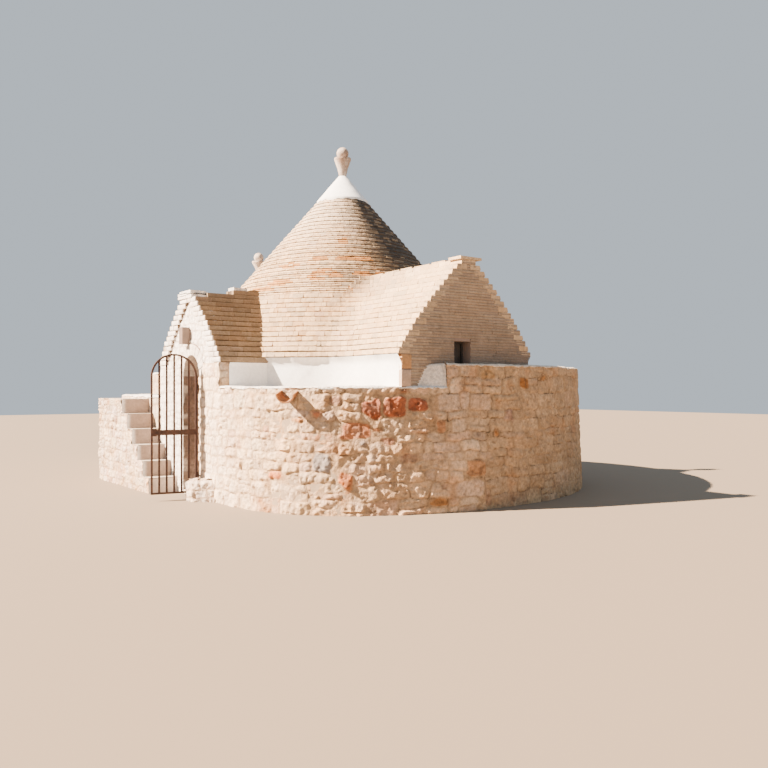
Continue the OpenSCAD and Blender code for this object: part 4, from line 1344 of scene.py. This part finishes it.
def round_and_flat(side, first_a, flat_y):
    """Places from a bearing on the drum, round the corner and along the wing to the gable."""
    bend = DRUM_CORNER_R
    cx, cy, to_line, turn, last_a = valley(DRUM_R, flat_y, side, bend)
    on_drum = abs(last_a - first_a) * DRUM_R
    corner = abs(turn) * bend

    def place(s, z, out):
        a = first_a + (last_a - first_a) * np.clip(s / on_drum, 0.0, 1.0)
        b = to_line + turn * (1 - np.clip((s - on_drum) / corner, 0.0, 1.0))
        flat = np.maximum(s - on_drum - corner, 0.0)
        x = np.where(s < on_drum, (DRUM_R + out) * np.cos(a), cx + (bend - out) * np.cos(b) + flat)
        y = np.where(s < on_drum, (DRUM_R + out) * np.sin(a), cy + (bend - out) * np.sin(b))
        return x, y, z

    return place, on_drum + corner + GABLE_X - cx


def white_walls(material):
    """Limewashed drums under the cones and the sides of both wings."""
    near_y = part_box("side_wing_wall_near")[0][1]
    far_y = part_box("side_wing_wall_far")[1][1]
    front_a = math.atan2(-math.sqrt(DRUM_R ** 2 - WALL_RIGHT ** 2), WALL_RIGHT)
    front, length = round_and_flat(-1, front_a, near_y)
    plaster("drum_plaster_front", front, 0.0, length, LEDGE_LOW, EAVE_Z, 200, material, 0.055, 0.03)
    back, length = round_and_flat(1, math.radians(270), far_y)
    plaster("drum_plaster_back", lambda s, z, out: back(-s, z, out), -length, 0.0, LEDGE_HIGH, EAVE_Z,
            210, material)

    def second(s, z, out):
        a = s / SECOND_DRUM_R
        return (SECOND_X + (SECOND_DRUM_R + out) * np.cos(a),
                SECOND_Y + (SECOND_DRUM_R + out) * np.sin(a), z)

    plaster("second_drum_plaster", second, 0.5, (2 * math.pi - 0.5) * SECOND_DRUM_R, LEDGE_HIGH, EAVE_Z,
            240, material)
    plaster("wing_side_plaster", facing_x(WALL_RIGHT), FACADE_Y + STRIP_W, -2.2, LEDGE_LOW, WING_Z, 250,
            material, 0.03, 0.03, 0.05)


def tip_plaster(name, node, top_r, seed, material):
    """The mortar tip as it was spread by hand, down over the topmost slabs."""
    low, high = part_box(node)
    cx, cy = (low[0] + high[0]) / 2, (low[1] + high[1]) / 2
    aa, pp = np.meshgrid(np.linspace(0.0, 2 * math.pi, 97), np.linspace(-0.08, 1.0, 28))
    cos, sin = np.cos(aa), np.sin(aa)
    lump = 0.004 * drift(cos * 0.4 + pp, sin * 0.4 + 2.0, 5.0, seed)
    lump += 0.002 * drift(cos * 0.4, sin * 0.4 + pp, 16.0, seed + 1)
    ragged = 0.016 * drift(cos, sin, 6.0, seed + 2) * (pp < 0)
    radius = top_r + (0.066 - top_r) * np.maximum(pp, 0.0) + lump
    z = low[2] + (high[2] - low[2]) * pp + ragged
    pile = Pile()
    pile.grid(np.stack([cx + radius * cos, cy + radius * sin, z], -1), np.array(WHITE))
    pile.skin(name, material, 70)


# Light and floor

TO_SUN = Vector((-0.285, -0.739, 0.611))


def make_light():
    sun = bpy.data.lights.new("sun", "SUN")
    sun.energy = 44.0
    sun.angle = math.radians(0.8)
    sun.color = (1.0, 0.765, 0.56)
    add("sun", sun).rotation_euler = TO_SUN.to_track_quat("Z", "Y").to_euler()
    world = bpy.data.worlds.new("world")
    bpy.context.scene.world = world
    world.use_nodes = True
    back = world.node_tree.nodes["Background"]
    back.inputs[0].default_value = (0.80, 0.90, 1.0, 1)
    back.inputs[1].default_value = 0.72


def make_floor():
    mesh = bpy.data.meshes.new("ground")
    half = 40.0
    corners = ((-half, -half), (half, -half), (half, half), (-half, half))
    mesh.from_pydata([(x, y, -0.001) for x, y in corners], [], [(0, 1, 2, 3)])
    paint = Paint("pale_floor")
    paint.shader.inputs["Base Color"].default_value = (0.20, 0.158, 0.116, 1)
    mesh.materials.append(paint.material)
    add("ground", mesh)


def main():
    make_camera()
    make_light()
    make_floor()
    slabs = stone_material("roof_slab_stone", LICHEN, 0.22, speckle=0.12)
    stones = stone_material("rubble_stone", GREY, 0.14, bump=1.0, spots=0.6, speckle=0.22, deep=0.022)
    plain = {slot: plain_material(*values) for slot, values in PLAIN.items()}
    lime = plain["limewash"]
    dress_nodes(plain)
    cone_slabs("main_cone_slabs", 0, 0, COURSES, cone_r, 19, cone_tint,
               lambda p: in_entrance_wing(p) or behind_valley(p), slabs, fine_from=13)
    cone_slabs("second_cone_slabs", SECOND_X, SECOND_Y, SECOND_COURSES, second_r, 23, roof_tint,
               in_main_cone, slabs)
    for build in (entrance_slabs, side_slabs, gable_courses):
        build(slabs)
    for build in (ridge_stones, cap_stones, ring_wall, other_walls, entrance_walls, arch_stones):
        build(stones)
    stair(stones, stone_material("riser_stone", GREY, 0.2, bump=0.4))
    jamb_foot(stones)
    gate_bars(plain["rusty_iron"])
    white_walls(lime)
    tip_plaster("cone_tip_plaster", "cone_tip", 0.436, 300, lime)
    tip_plaster("second_tip_plaster", "second_tip", 0.236, 310, lime)


main()
